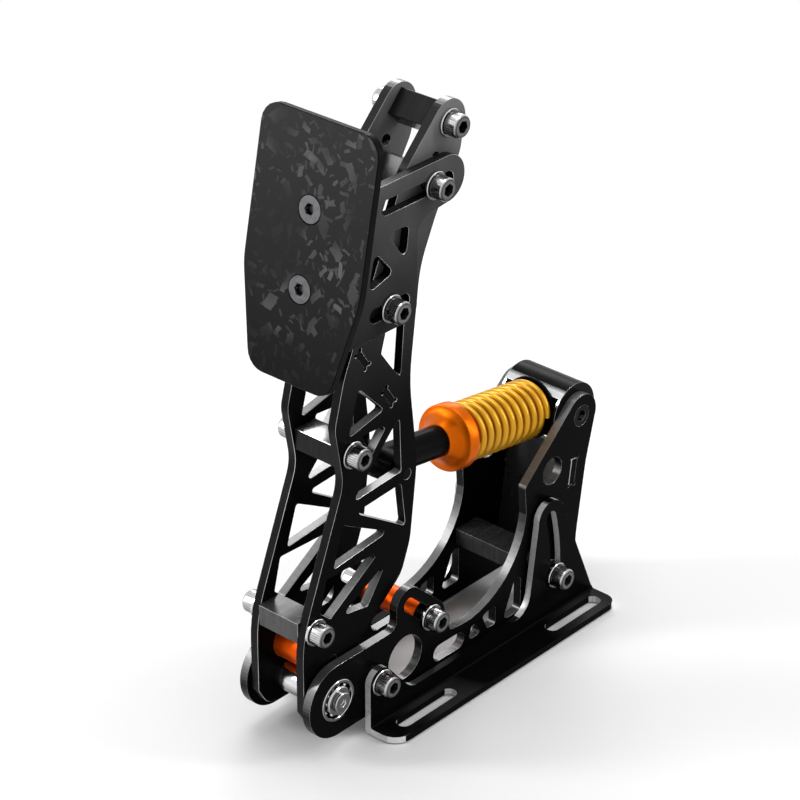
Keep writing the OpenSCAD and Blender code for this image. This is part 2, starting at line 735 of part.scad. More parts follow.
module coil() {
    points = [for (i = [0:rings]) each coil_ring(i)];
    skin = [for (i = [0:rings - 1], k = [0:5]) let (a = 6 * i + k, b = 6 * i + (k + 1) % 6)
        each [[a, b, b + 6], [a, b + 6, a + 6]]];
    last = 6 * rings;
    ends = [for (k = [1:4]) each [[0, k + 1, k], [last, last + k, last + k + 1]]];
    polyhedron(points, concat(skin, ends), convexity = 10);
}

// Least gap of the spring wire to itself, between points over half a turn apart
coil_gap = min([for (i = [0:rings - 6], j = [i + 6:min(i + 12, rings)])
    norm(coil_point(i) - coil_point(j)) - wire_d]);
echo(spring_wire_gap = coil_gap);

// Root: the two brackets that are bolted to the deck
module mounting_bracket_right() {
    color(black) on_deck() mounting_bracket();
}

module mounting_bracket_left() {
    color(black) on_deck() mirror([1, 0, 0]) mounting_bracket();
}

// Frame that tilts between the brackets
module frame_plate_right() {
    color(black) at_pivot() frame_plate();
}

module frame_plate_left() {
    color(black) at_pivot() mirror([1, 0, 0]) frame_plate();
}

module frame_rear_crossbar() {
    color(black) at_pivot() difference() {
        translate([-frame_in, frame_bar_at[0] - frame_bar_size[0] / 2, frame_bar_at[1] - frame_bar_size[1] / 2])
            cube([2 * frame_in, frame_bar_size[0], frame_bar_size[1]]);
        both_sides() bar(frame_bar_screw_at, frame_in - 9, frame_in + 1, small_r);
    }
}

module frame_crossbar_screws() {
    color(steel) at_pivot() both_sides() sunk_screw(frame_bar_screw_at, frame_out, frame_in - 8, small_r);
}

// Sheet that closes the back between the towers; its tabs sit in slots of the frame plates
module tower_web() {
    color(black) at_pivot() {
        side_plate(-frame_in, 2 * frame_in) leaning(web_at, web_lean, web_reach[0], web_reach[1], web_t);
        side_plate(-frame_out, 2 * frame_out) leaning(web_at, web_lean, web_tab / 2, web_tab / 2, web_t);
    }
}

module front_frame_tube() {
    color(steel) at_pivot() plate_tube(tilt_bolt, frame_in, frame_tube_r);
}

module rear_frame_tube() {
    color(steel) at_pivot() plate_tube(clamp_bolt, frame_in, frame_tube_r);
}

module frame_bolts() {
    color(steel) at_pivot() both_sides() for (b = [tilt_bolt, clamp_bolt])
        cap_screw(b, bracket_out + slide_gap + washer_t, frame_in - thread_grip);
}

module frame_washers() {
    color(steel) at_pivot() both_sides() for (b = [tilt_bolt, clamp_bolt]) washer(b, bracket_out + slide_gap);
}

module frame_spacers() {
    color(steel) at_pivot() both_sides() for (b = [tilt_bolt, clamp_bolt]) difference() {
        bar(b, frame_out, frame_out + spacer_t, washer_r);
        drill(b, frame_out, frame_out + spacer_t, bolt_r + 0.2);
    }
}

module bearing_outer_rings() {
    color(steel) at_pivot() both_sides() bearing_ring(outer_ring_r, bearing_r);
}

// Pedal arm and what turns with it
module bearing_inner_rings() {
    color(steel) at_pivot() both_sides() bearing_ring(shaft_r, inner_ring_r);
}

module bearing_balls() {
    color(steel) at_pivot() both_sides() for (i = [0:ball_count - 1])
        rotate([360 * i / ball_count, 0, 0]) translate([bearing_x + bearing_w / 2, pitch_r, 0])
            sphere(ball_r, $fn = 24);
}

module bearing_shims() {
    color(steel) at_pivot() both_sides() difference() {
        bar([0, 0], arm_out, bearing_x, inner_ring_r);
        drill([0, 0], arm_out, bearing_x, shaft_r);
    }
}

module pivot_shaft() {
    tip = bearing_x + bearing_w;
    color(steel) at_pivot() difference() {
        union() {
            bar([0, 0], -arm_in, arm_in, shaft_body_r);
            bar([0, 0], -tip, tip, shaft_r);
        }
        both_sides() bar([0, 0], tip - 11, tip + 1, small_r);
    }
}

module pivot_end_washers() {
    tip = bearing_x + bearing_w;
    color(steel) at_pivot() both_sides() difference() {
        bar([0, 0], tip, tip + end_washer_t, inner_ring_r);
        drill([0, 0], tip, tip + end_washer_t, small_r + 0.2);
    }
}

module pivot_end_screws() {
    seat = bearing_x + bearing_w + end_washer_t;
    color(steel) at_pivot() both_sides() difference() {
        union() {
            bar([0, 0], seat, seat + end_head[1], end_head[0]);
            bar([0, 0], seat - 10, seat, small_r);
        }
        translate([seat + 0.35 * end_head[1], 0, 0]) rotate([0, 90, 0])
            cylinder(h = end_head[1], r = 0.7 * small_r, $fn = 6);
    }
}

module arm_plate_right() {
    color(black) at_pivot() arm_plate();
}

module arm_plate_left() {
    color(black) at_pivot() mirror([1, 0, 0]) arm_plate();
}

// Sheet between the arm plates below the face carrier; its tabs sit in slots of the plates
module arm_web() {
    over = arm_web_tab / 2 + arm_web_over;
    color(black) at_pivot() {
        side_plate(-arm_in, 2 * arm_in)
            leaning(arm_web_up, arm_web_lean, over, arm_web_gap + over, arm_web_t);
        for (p = [arm_web_up, arm_web_down]) side_plate(-arm_out, 2 * arm_out)
            leaning(p, arm_web_lean, arm_web_tab / 2, arm_web_tab / 2, arm_web_t);
    }
}

module top_crossbar() {
    color(steel) at_pivot() crossbar(top_bolt, arm_in, crossbar_size, 46);
}

module upper_crossbar() {
    color(steel) at_pivot() crossbar(upper_bolt, arm_in, crossbar_size, 62);
}

module lower_crossbar() {
    color(steel) at_pivot() crossbar(lower_bolt, arm_in, crossbar_size, 62);
}

module middle_crossbar() {
    color(steel) at_pivot() crossbar(middle_bolt, arm_in, crossbar_size);
}

module foot_crossbar() {
    color(steel) at_pivot() crossbar(foot_bolt, arm_in, crossbar_size);
}

// Anodised spacer with spigots that sit flush in the arm plates
module arm_spacer() {
    color(orange) at_pivot() {
        bar(arm_spacer_at, -arm_in, arm_in, arm_spacer_r);
        bar(arm_spacer_at, -arm_out, arm_out, bolt_r);
    }
}

module arm_bolts() {
    color(steel) at_pivot() both_sides() for (b = [top_bolt, middle_bolt, foot_bolt])
        cap_screw(b, arm_out + washer_t, arm_in - thread_grip);
}

module arm_washers() {
    color(steel) at_pivot() both_sides() for (b = [top_bolt, middle_bolt, foot_bolt]) washer(b, arm_out);
}

module carrier_clamp_bolts() {
    color(steel) at_pivot() both_sides() for (b = [upper_bolt, lower_bolt])
        cap_screw(b, carrier_out + slide_gap + washer_t, arm_in - thread_grip);
}

module carrier_clamp_washers() {
    color(steel) at_pivot() both_sides() for (b = [upper_bolt, lower_bolt]) washer(b, carrier_out + slide_gap);
}

module rod_pin_dowel() {
    color(steel) at_pivot() bar(rod_pin, -arm_out, arm_out, rod_pin_r);
}

module sensor_magnet_ring() {
    x1 = arm_in - 1;
    color(black) at_pivot() difference() {
        bar([0, 0], x1 - magnet_w, x1, shaft_body_r + magnet_t);
        drill([0, 0], x1 - magnet_w, x1, shaft_body_r);
    }
}

// Reads the magnet ring's angle; it clamps round the front frame tube
module angle_sensor() {
    x1 = arm_in - slide_gap;
    x0 = x1 - sensor_w;
    front = shaft_body_r + magnet_t + sensor_gap;
    color(black) at_pivot() difference() {
        union() {
            translate([x0, front, -sensor_h / 2]) cube([sensor_w, tilt_bolt[0] - front, sensor_h]);
            bar(tilt_bolt, x0, x1, frame_tube_r + sensor_wall);
        }
        drill(tilt_bolt, x0, x1, frame_tube_r);
        // Socket for the lead, which is not part of the object
        translate([x0 + 1.5, front + 1.5, -sensor_h / 2 - 1]) cube([sensor_w - 3, 5, sensor_h / 2]);
    }
}

// Face plate with its sliding carrier
module face_carrier_right() {
    color(black) at_pivot() face_carrier();
}

module face_carrier_left() {
    color(black) at_pivot() mirror([1, 0, 0]) face_carrier();
}

module face_crossbar_upper() {
    color(steel) at_pivot() face_crossbar(upper_bar);
}

module face_crossbar_lower() {
    color(steel) at_pivot() face_crossbar(lower_bar);
}

module face_carrier_screws() {
    color(steel) at_pivot() both_sides() for (b = [lower_bar, upper_bar])
        sunk_screw(b, carrier_out, carrier_in - 8, small_r);
}

module face_plate() {
    color(carbon) face_sheet();
}

module face_screws() {
    color(black) for (u = [0, face_screw_gap]) face_screw(u);
}

// Travel stop that slides in the horns of the frame
module stop_tube() {
    color(orange) at_pivot() plate_tube(stop_at, frame_in - slide_gap, stop_r);
}

module stop_bolts() {
    color(steel) at_pivot() both_sides()
        cap_screw(stop_at, frame_out + slide_gap + washer_t, frame_in - thread_grip);
}

module stop_washers() {
    color(steel) at_pivot() both_sides() washer(stop_at, frame_out + slide_gap);
}

// Push rod, from its eye on the arm to the lock nut behind the trunnion
module push_rod_eye() {
    half = arm_in - 0.5;
    color(black) difference() {
        union() {
            at_pivot() bar(rod_pin, -half, half, eye_r);
            on_rod(0) cylinder(h = cap_s, r = eye_r);
        }
        at_pivot() drill(rod_pin, -half, half, rod_pin_r + running_clear);
        on_rod(cap_s - rod_socket) cylinder(h = rod_socket + 1, r = rod_r);
    }
}

module push_rod() {
    color(steel) on_rod(cap_s - rod_socket) cylinder(h = rod_end - cap_s + rod_socket, r = rod_r);
}

module spring_cap() {
    hub_r = eye_r + 2.5;
    inner_r = spring_r - wire_d - 0.5;
    rim = cap_cone + cap_t;
    color(orange) difference() {
        on_rod(cap_s - cap_cone) rotate_extrude() polygon([[0, 0], [hub_r, 0], [hub_r, cap_cone / 3],
            [cap_r - 1, cap_cone - 1], [cap_r, cap_cone], [cap_r, rim], [inner_r, rim],
            [inner_r - 0.5, rim + cap_spigot], [0, rim + cap_spigot]]);
        on_rod(cap_s - cap_cone - 1) cylinder(h = cap_cone + 1, r = eye_r);
        on_rod(cap_s - 1) cylinder(h = cap_t + cap_spigot + 2, r = rod_r);
    }
}

module spring() {
    color(yellow) on_rod(spring_start) coil();
}

// Washer between the spring and the trunnion's front flat
module spring_seat() {
    color(steel) difference() {
        on_rod(spring_start + spring_len) cylinder(h = seat_t, r = spring_r + 0.3);
        on_rod(spring_start + spring_len - 1) cylinder(h = seat_t + 2, r = rod_r + rod_clear);
    }
}

// Bar across the tower that turns on its journals and lets the rod slide through; round flanges end its flats
module trunnion() {
    half = frame_in - 0.2;
    seat_half = spring_r + 0.3 + 0.5;
    deep = 2 * trunnion_r;
    color(black) difference() {
        union() {
            at_pivot() bar(trunnion_at, -half, half, trunnion_r);
            at_pivot() bar(trunnion_at, -frame_out, frame_out, journal_r);
        }
        for (s = [rod_len - spring_flat - deep, rod_len + trunnion_flat])
            on_rod(s) translate([-seat_half, -deep, 0]) cube([2 * seat_half, 2 * deep, deep]);
        on_rod(rod_len - 20) cylinder(h = 40, r = rod_r + rod_clear);
        at_pivot() both_sides() bar(trunnion_at, frame_out - 5, frame_out + 1, small_r);
    }
}

module rebound_washer() {
    color(black) difference() {
        on_rod(rod_len + trunnion_flat) cylinder(h = bump_t, r = nut_r + 1.5);
        on_rod(rod_len + trunnion_flat - 1) cylinder(h = bump_t + 2, r = rod_r);
    }
}

module rod_lock_nut() {
    color(steel) difference() {
        on_rod(rod_len + trunnion_flat + bump_t) cylinder(h = nut_h, r = nut_r, $fn = 6);
        on_rod(rod_len + trunnion_flat + bump_t - 1) cylinder(h = nut_h + 2, r = rod_r);
    }
}

mounting_bracket_left();
mounting_bracket_right();
frame_plate_left();
frame_plate_right();
frame_rear_crossbar();
frame_crossbar_screws();
tower_web();
front_frame_tube();
rear_frame_tube();
frame_bolts();
frame_washers();
frame_spacers();
bearing_outer_rings();
bearing_inner_rings();
bearing_balls();
bearing_shims();
pivot_shaft();
pivot_end_washers();
pivot_end_screws();
arm_plate_left();
arm_plate_right();
arm_web();
top_crossbar();
upper_crossbar();
lower_crossbar();
middle_crossbar();
foot_crossbar();
arm_spacer();
arm_bolts();
arm_washers();
carrier_clamp_bolts();
carrier_clamp_washers();
rod_pin_dowel();
face_carrier_left();
face_carrier_right();
face_crossbar_upper();
face_crossbar_lower();
face_carrier_screws();
face_plate();
face_screws();
stop_tube();
stop_bolts();
stop_washers();
push_rod_eye();
push_rod();
spring_cap();
spring();
spring_seat();
trunnion();
rebound_washer();
rod_lock_nut();
sensor_magnet_ring();
angle_sensor();
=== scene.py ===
# %% [markdown]
# # A sim racing pedal, dressed for its picture
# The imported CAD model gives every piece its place, its size and the body that it moves with. This lesson
# adds what a CAD model leaves out: broken edges that catch the light, knurled screw heads, a smooth coil
# spring, and a finish for each kind of piece. All lengths are metres, X runs across the pedal, Y away from
# the driver and Z up.

# %% Load the frame
import json
import math

import bmesh
import bpy
from mathutils import Matrix, Vector


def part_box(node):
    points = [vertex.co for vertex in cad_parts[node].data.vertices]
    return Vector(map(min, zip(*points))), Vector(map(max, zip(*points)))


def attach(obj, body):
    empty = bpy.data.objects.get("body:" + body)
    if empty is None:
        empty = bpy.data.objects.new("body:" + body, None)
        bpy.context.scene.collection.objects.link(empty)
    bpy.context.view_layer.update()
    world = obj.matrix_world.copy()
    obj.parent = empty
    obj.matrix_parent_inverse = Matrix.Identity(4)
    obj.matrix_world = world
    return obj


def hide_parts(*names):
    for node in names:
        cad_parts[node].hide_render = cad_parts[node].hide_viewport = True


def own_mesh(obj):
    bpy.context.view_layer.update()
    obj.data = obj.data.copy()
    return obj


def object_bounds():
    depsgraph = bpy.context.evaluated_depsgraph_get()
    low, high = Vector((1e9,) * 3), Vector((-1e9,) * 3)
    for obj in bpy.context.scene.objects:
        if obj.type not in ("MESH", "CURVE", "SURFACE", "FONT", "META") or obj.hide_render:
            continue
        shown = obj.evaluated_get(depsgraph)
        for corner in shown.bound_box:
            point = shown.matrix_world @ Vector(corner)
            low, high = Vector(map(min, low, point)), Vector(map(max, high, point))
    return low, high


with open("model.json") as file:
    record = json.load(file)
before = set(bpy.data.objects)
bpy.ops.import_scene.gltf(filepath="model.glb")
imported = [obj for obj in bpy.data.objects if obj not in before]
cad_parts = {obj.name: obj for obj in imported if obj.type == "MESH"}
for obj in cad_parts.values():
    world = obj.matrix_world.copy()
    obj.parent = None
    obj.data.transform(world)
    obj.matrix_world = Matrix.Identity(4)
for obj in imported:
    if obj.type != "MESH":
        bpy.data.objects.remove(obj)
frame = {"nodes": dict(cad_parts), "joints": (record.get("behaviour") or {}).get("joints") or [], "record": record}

MM = 0.001
cad_low, cad_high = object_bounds()
print("CAD box in mm:", [round(v / MM, 1) for v in (*cad_low, *cad_high)])

# %% [markdown]
# The pedal pivot and the push rod's line are the two references that the rest is placed by. They are read
# from the frame, so the scene follows the CAD model when a size there changes. A node's box gives its
# middle, and a projection of its points on the rod's line tells where on the rod it sits.

# %% Find the pivot and the push rod's line
def middle(node):
    low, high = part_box(node)
    return (low + high) / 2


pivot = middle("bearing_outer_rings")
rod_pin = middle("rod_pin_dowel")
trunnion_axis = middle("trunnion")
rod_way = (trunnion_axis - rod_pin).normalized()
rod_side = Vector((1, 0, 0))
rod_up = rod_way.cross(rod_side)


def on_rod(node):
    """Each point of a node as its place along the rod and its distance from the rod's line"""
    for v in frame["nodes"][node].data.vertices:
        place = (v.co - rod_pin).dot(rod_way)
        yield place, ((v.co - rod_pin) - rod_way * place).length


def span_on_rod(node):
    places = [place for place, radius in on_rod(node)]
    return min(places), max(places)


def reach_from_rod(node):
    return max(radius for place, radius in on_rod(node))


print("Spring on the rod in mm:", [round(s / MM, 1) for s in span_on_rod("spring")])

# %% [markdown]
# A product photographer stands well back and uses a long lens, so that the pedal's lines stay nearly
# parallel. The angle, the distance and the lens were fitted to the picture: the camera looks down by
# 29 degrees from the pedal's front right.

# %% Set the camera
LOOK_FROM_PIVOT = Vector((0, 60.9, 109.5)) * MM
AZIMUTH = math.radians(41.85)
ELEVATION = math.radians(28.8)
DISTANCE = 1.240
LENS_MM = 135
SENSOR_MM = 36


def new_object(name, data):
    obj = bpy.data.objects.new(name, data)
    bpy.context.scene.collection.objects.link(obj)
    return obj


camera = new_object("camera", bpy.data.cameras.new("camera"))
camera.data.lens = LENS_MM
camera.data.sensor_width = SENSOR_MM
outwards = Vector((math.sin(AZIMUTH) * math.cos(ELEVATION), -math.cos(AZIMUTH) * math.cos(ELEVATION),
                   math.sin(ELEVATION)))
camera.location = pivot + LOOK_FROM_PIVOT + outwards * DISTANCE
camera.rotation_euler = (-outwards).to_track_quat("-Z", "Y").to_euler()
bpy.context.scene.camera = camera
print("Camera at", [round(v, 3) for v in camera.location])

# %% [markdown]
# Materials, the world and Geometry Nodes are all graphs of nodes. Wrapping a socket in a small class lets a
# graph be written as arithmetic: `1 - mask` adds a Math node and returns its output, ready for the next step.

# %% Node arithmetic
class Wire:
    """A socket of a graph, which can be added, multiplied and compared with others or with numbers"""

    def __init__(self, graph, socket):
        self.graph = graph
        self.socket = socket

    def maths(self, operation, *values):
        return self.graph.add("ShaderNodeMath", {"operation": operation}, dict(enumerate(values)))

    def __add__(self, other):
        return self.maths("ADD", self, other)

    __radd__ = __add__

    def __sub__(self, other):
        return self.maths("SUBTRACT", self, other)

    def __rsub__(self, other):
        return self.maths("SUBTRACT", other, self)

    def __mul__(self, other):
        return self.maths("MULTIPLY", self, other)

    __rmul__ = __mul__

    def __truediv__(self, other):
        return self.maths("DIVIDE", self, other)

    def __abs__(self):
        return self.maths("ABSOLUTE", self)

    def __gt__(self, other):
        return self.maths("GREATER_THAN", self, other)

    def __lt__(self, other):
        return self.maths("LESS_THAN", self, other)

    def power(self, other):
        return self.maths("POWER", self, other)

    def highest(self, other):
        return self.maths("MAXIMUM", self, other)

    def lowest(self, other):
        return self.maths("MINIMUM", self, other)

    def sine(self):
        return self.maths("SINE", self)

    def cosine(self):
        return self.maths("COSINE", self)


# %% [markdown]
# A graph adds any other node: first the node's settings are set, and then the values or links of its sockets.
# The world and the floor both show one thing and light with another, so the mask that tells the two apart is
# made here too.

# %% A graph and how to add to it
class Graph:
    """A tree of nodes and the ways to add to it"""

    def __init__(self, tree):
        self.tree = tree

    def feed(self, node, values):
        for key, value in values.items():
            if isinstance(value, Wire):
                self.tree.links.new(value.socket, node.inputs[key])
            else:
                node.inputs[key].default_value = value

    def node(self, kind, settings=None, values=None):
        node = self.tree.nodes.new(kind)
        for key, value in (settings or {}).items():
            setattr(node, key, value)
        self.feed(node, values or {})
        return node

    def add(self, kind, settings=None, values=None, out=0):
        return Wire(self, self.node(kind, settings, values).outputs[out])

    def seen(self):
        """1 where the camera, a reflection or a transmitted ray looks, and 0 where light is gathered"""
        seen = self.add("ShaderNodeLightPath", out="Is Camera Ray")
        for ray in ("Is Glossy Ray", "Is Transmission Ray"):
            seen = seen.highest(self.add("ShaderNodeLightPath", out=ray))
        return seen


# %% [markdown]
# A finish is one material. It has its main shader and the few helpers that most finishes share: the place on
# the piece, the way that the surface looks, noise, a change of range, a blend of two colours and a bump. A
# surface counts as flush with a plane as its direction's part across that plane passes through two values.

# %% What finishes share
FLUSH = (0.93, 0.97)


class Finish(Graph):
    """One material: its graph, its main shader and the nodes that finishes share"""

    def __init__(self, name, **sockets):
        self.material = bpy.data.materials.new(name)
        self.material.use_nodes = True
        super().__init__(self.material.node_tree)
        self.shader = self.tree.nodes["Principled BSDF"]
        self.shade(**sockets)

    def shade(self, **sockets):
        self.feed(self.shader, {key.replace("_", " "): value for key, value in sockets.items()})
        return self.material

    def object_place(self):
        return self.add("ShaderNodeTexCoord", out="Object")

    def split(self, vector):
        return [self.add("ShaderNodeSeparateXYZ", None, {"Vector": vector}, out=i) for i in range(3)]

    def facing(self):
        return self.split(self.add("ShaderNodeNewGeometry", out="True Normal"))

    def noise(self, scale, detail=2, place=None, stretch=None, out="Fac"):
        place = place or self.object_place()
        if stretch:
            place = self.add("ShaderNodeMapping", None, {"Vector": place, "Scale": stretch})
        values = {"Vector": place, "Scale": scale, "Detail": detail}
        return self.add("ShaderNodeTexNoise", None, values, out)

    def remap(self, value, low, high, new_low=0.0, new_high=1.0):
        values = {"Value": value, "From Min": low, "From Max": high, "To Min": new_low, "To Max": new_high}
        return self.add("ShaderNodeMapRange", {"clamp": True}, values)

    def blend(self, mask, first, second):
        return self.add("ShaderNodeMix", {"data_type": "RGBA"}, {"Factor": mask, 6: first, 7: second}, out=2)

    def bump(self, height, depth, strength=1.0):
        return self.add("ShaderNodeBump", None, {"Height": height, "Distance": depth, "Strength": strength})


def grey(level, cooler=0.0):
    return level, level, level + cooler, 1


# %% [markdown]
# Black metal shows little colour of its own: what it shows is its surroundings. A tall narrow lamp at the
# front left is mirrored by the broken edges, the screw heads and the bar behind the spring, and draws a
# bright streak on each; along that bar a painted highlight band adds to it. A soft one at the rear left lies
# on the tops of the bars and the flange, where painted highlights add to it too, one at the rear right draws
# the rims, and one overhead lights the whole. The world is white to the camera and to reflections, and
# dimmer as a light.

# %% Light the studio
HEART = pivot + Vector((0, 0.06, 0.1))
LAMPS = (
    ("overhead_lamp", (-0.1, 0.1, 0.9), (0.6, 0.6), 4),
    ("front_left_lamp", (-0.75, -0.7, 0.38), (0.2, 0.8), 7),
    ("rear_left_lamp", (-0.62, 0.7, 0.5), (0.5, 0.3), 2.5),
    ("rim_lamp", (0.75, 0.6, 0.45), (0.2, 0.8), 4),
)
WORLD_LIGHT = 0.4

for name, offset, size, watts in LAMPS:
    lamp = new_object(name, bpy.data.lights.new(name, "AREA"))
    lamp.data.shape = "RECTANGLE"
    lamp.data.size, lamp.data.size_y = size
    lamp.data.energy = watts
    lamp.location = HEART + Vector(offset)
    lamp.rotation_euler = (lamp.location - HEART).to_track_quat("Z", "Y").to_euler()

world = bpy.data.worlds.new("studio")
bpy.context.scene.world = world
world.use_nodes = True
sky = Graph(world.node_tree)
strength = sky.add("ShaderNodeMapRange", None, {"Value": sky.seen(), "To Min": WORLD_LIGHT, "To Max": 1.0})
sky.feed(world.node_tree.nodes["Background"], {"Color": grey(1), "Strength": strength})
bpy.context.scene.view_settings.view_transform = "Standard"
print("Lamps:", ", ".join(lamp[0] for lamp in LAMPS))

# %% [markdown]
# The plates are cut from sheet and turned a deep glossy black, and then a fine bright line is milled along
# their edges, whose brightness wanders as a painted glint. The plates all stand in the Y-Z plane, so the X
# part of the surface direction tells a broad face (1) from the cut through the sheet (0) and from the milled
# line between them (0.7). The cut shows bare metal, painted lighter where it faces up, as if lit from above,
# and each plate has its own painted lit colour. The bent bracket has a flange and a bend along Y too, so for
# it every face that doesn't look along Y is broad; all its cuts are painted lit, and soft painted reflections
# lie on its flange. The pedal arm and the face carriers have a thin painted grey sheen that grows towards
# their top, where the cuts through the sheet keep a painted shade unless they look straight up.

# %% Black plate
SHEEN_HEIGHTS = (0.13, 0.265)
SHADED_HEIGHTS = (0.185, 0.205)


def black_plate_finish(name, lit_cut_tint, painted_sheen=0.0, bent=False, cut_from=0.0, bare=0.6):
    f = Finish(name, IOR=1.45, Specular_IOR_Level=0.015)
    x, y, z = f.facing()
    flat = abs(x)
    line = f.remap(flat, FLUSH[0], 0.9) * f.remap(flat, 0.3, 0.35)
    # Painted light: the cuts are painted lighter where they face up, and on the bent bracket all of them are.
    up = f.remap(z, cut_from, cut_from + 0.4)
    if bent:
        lengthwise = f.remap(abs(y), 0.08, 0.14)
        flat = flat.highest(abs(z)).highest(1 - lengthwise)
        up = up.highest(0.85)
    broad = f.remap(flat, *FLUSH)
    cloud = f.noise(45, 3)
    # Painted glint: the milled line's brightness wanders along the edge.
    glint = f.remap(f.noise(38, 1), 0.38, 0.6)
    grain = f.noise(900, 2, stretch=(0.15, 1, 1))
    height = f.split(f.object_place())[2]
    # Painted shade and sheen: on the arm and the carriers the cuts near the top are painted dark unless they look
    # straight up, and the broad faces get a painted grey sheen that grows towards the top.
    if painted_sheen:
        shaded = up * f.remap(height, *SHADED_HEIGHTS, 1.0, 0.1)
        up = shaded.highest(f.remap(z, 0.85, 1.0))
    sheen = f.remap(height, *SHEEN_HEIGHTS).power(2) * painted_sheen * (cloud + 0.5)
    # Painted reflection: soft pale patches on the bracket's flange.
    if bent:
        sheen = f.remap(f.noise(16, 1), 0.5, 0.75) * f.remap(abs(z), *FLUSH) * 0.06
    face_tint = f.blend(sheen, grey(0.0025, 0.0005), grey(1))
    cut = f.blend(up * (grain * 0.5 + 0.7), grey(0.012, 0.001), lit_cut_tint)
    milled = f.blend(glint, grey(0.32, 0.005), grey(0.9, 0.01))
    return f.shade(
        Base_Color=f.blend(broad, f.blend(line, cut, milled), face_tint),
        Metallic=bare - broad * bare,
        Roughness=f.remap(cloud, 0.3, 0.7, 0.2, 0.3),
        Normal=f.bump(grain, 0.00001, 0.2))


# %% [markdown]
# Turned and milled black parts, such as the bar behind the spring and the rod's eye, have fine rings or
# straight tool marks. A noise stretched along X draws them. The square bars between the plates have the same
# marks, on black or on a paler grey. The turned rims at a bar's ends are bare metal. A bar can also have a
# painted highlight band along it, standing in for a lamp's reflection, on the faces that look up by an amount
# between the two given and not away to the rear.

# %% Black and grey bars
def bar_finish(name, dark, pale, metallic, level, rims=True, highlight_band=None):
    f = Finish(name, IOR=1.45, Specular_IOR_Level=level)
    marks = f.noise(700, 2, stretch=(1, 0.1, 0.1))
    cloud = f.noise(60, 2)
    tint = f.blend(marks, dark, pale)
    x, y, z = f.facing()
    # Painted highlight: a bright band where the faces look up by the given amount.
    if highlight_band:
        low, high = highlight_band
        lit = f.remap(z, low - 0.12, low) * f.remap(z, high + 0.08, high) * (y < 0.3)
        tint = f.blend(lit, tint, grey(0.62))
        metallic = f.remap(lit, 0, 1, metallic, 0.9)
    if rims:
        across = abs(x)
        rim = f.remap(across, 0.4, 0.5) * f.remap(across, *reversed(FLUSH))
        tint = f.blend(rim, tint, grey(0.35, 0.01))
        metallic = (rim * 0.9).highest(metallic)
    return f.shade(
        Base_Color=tint,
        Metallic=metallic,
        Roughness=f.remap(cloud, 0.3, 0.7, 0.2, 0.32),
        Normal=f.bump(marks, 0.00001, 0.3))


# %% [markdown]
# Screws, washers, tubes and bearings are polished steel. A mirror without any fault looks made by a computer,
# so the roughness wanders a little and a fine bump bends the reflections. Painted shade darkens the knurls,
# the sockets and the undersides: an attribute on the screw heads marks the first two, and the surface
# direction the third. Faces that lie flat against a plate are painted much darker than the turned rims round
# them, as a painted dark reflection.

# %% Polished steel
def steel_finish():
    f = Finish("polished_steel", Metallic=1.0)
    x, y, z = f.facing()
    smear = f.noise(220, 3)
    marks = f.noise(1500, 1, stretch=(1, 0.2, 0.2))
    # Painted shade in the knurls, the sockets and under the heads comes from an attribute on the screw heads.
    painted_shade = f.add("ShaderNodeAttribute", {"attribute_name": "painted_shade"}, out="Fac")
    # Painted shade: the undersides are painted darker.
    painted_under_shade = f.remap(z, 0.25, -0.5)
    flat = f.remap(abs(x), *FLUSH)
    steel_tone = f.blend(smear, grey(0.6, 0.01), grey(0.82, 0.01))
    # Painted reflection: faces flat against a plate are painted dark.
    painted_flat_dark = f.blend(flat * 0.8, steel_tone, grey(0.05, 0.002))
    shaded = f.blend(painted_under_shade * 0.85, painted_flat_dark, grey(0.03))
    return f.shade(
        Base_Color=f.blend(painted_shade, shaded, grey(0.008)),
        Roughness=f.remap(smear, 0.35, 0.65, 0.08, 0.18) + painted_shade * 0.3,
        Normal=f.bump(marks, 0.00001, 0.3))


# %% [markdown]
# The countersunk screws are a plain grey, with painted shade in black round them and in their sockets: only
# the faces of their heads are grey, and their chamfered rims and socket walls are painted black. They look
# along Y or along X, so those two parts of the surface direction pick them out.

# %% Grey countersunk screws
def sunk_screw_finish():
    f = Finish("sunk_screw", Metallic=0.6)
    x, y, z = f.facing()
    wear = f.noise(500, 3)
    # Painted shade: all of a head but its face is painted black.
    face = f.remap(abs(x).highest(abs(y)), 0.9, 0.94)
    steel = f.blend(wear, grey(0.06, 0.003), grey(0.13, 0.005))
    return f.shade(
        Base_Color=f.blend(face, grey(0.002), steel),
        Roughness=f.remap(wear, 0.3, 0.7, 0.3, 0.45),
        Normal=f.bump(wear, 0.00001, 0.3))


# %% [markdown]
# Anodised aluminium is metal under a thin dyed skin: the colour sits on the reflection itself. The cap and
# the stop are turned, so their tool marks run round the bar, which a stretched noise stands for. The sawn
# ends of the two bars across the pedal are black.

# %% Orange anodised aluminium
def orange_finish(name, deep, bright, sawn_ends=False):
    f = Finish(name, Metallic=0.7, Specular_IOR_Level=0.05)
    marks = f.noise(900, 2, stretch=(0.2, 1, 0.2))
    cloud = f.noise(70, 2)
    tint = f.blend(cloud, deep, bright)
    if sawn_ends:
        tint = f.blend(f.remap(abs(f.facing()[0]), 0.3, 0.4), tint, grey(0.003))
    return f.shade(
        Base_Color=tint,
        Roughness=f.remap(marks, 0.3, 0.7, 0.28, 0.4),
        Normal=f.bump(marks, 0.00001, 0.25))


# %% [markdown]
# The spring is powder coated in a golden yellow. Powder melts into a skin with a faint orange-peel swell,
# and its colour wanders a little from coil to coil.

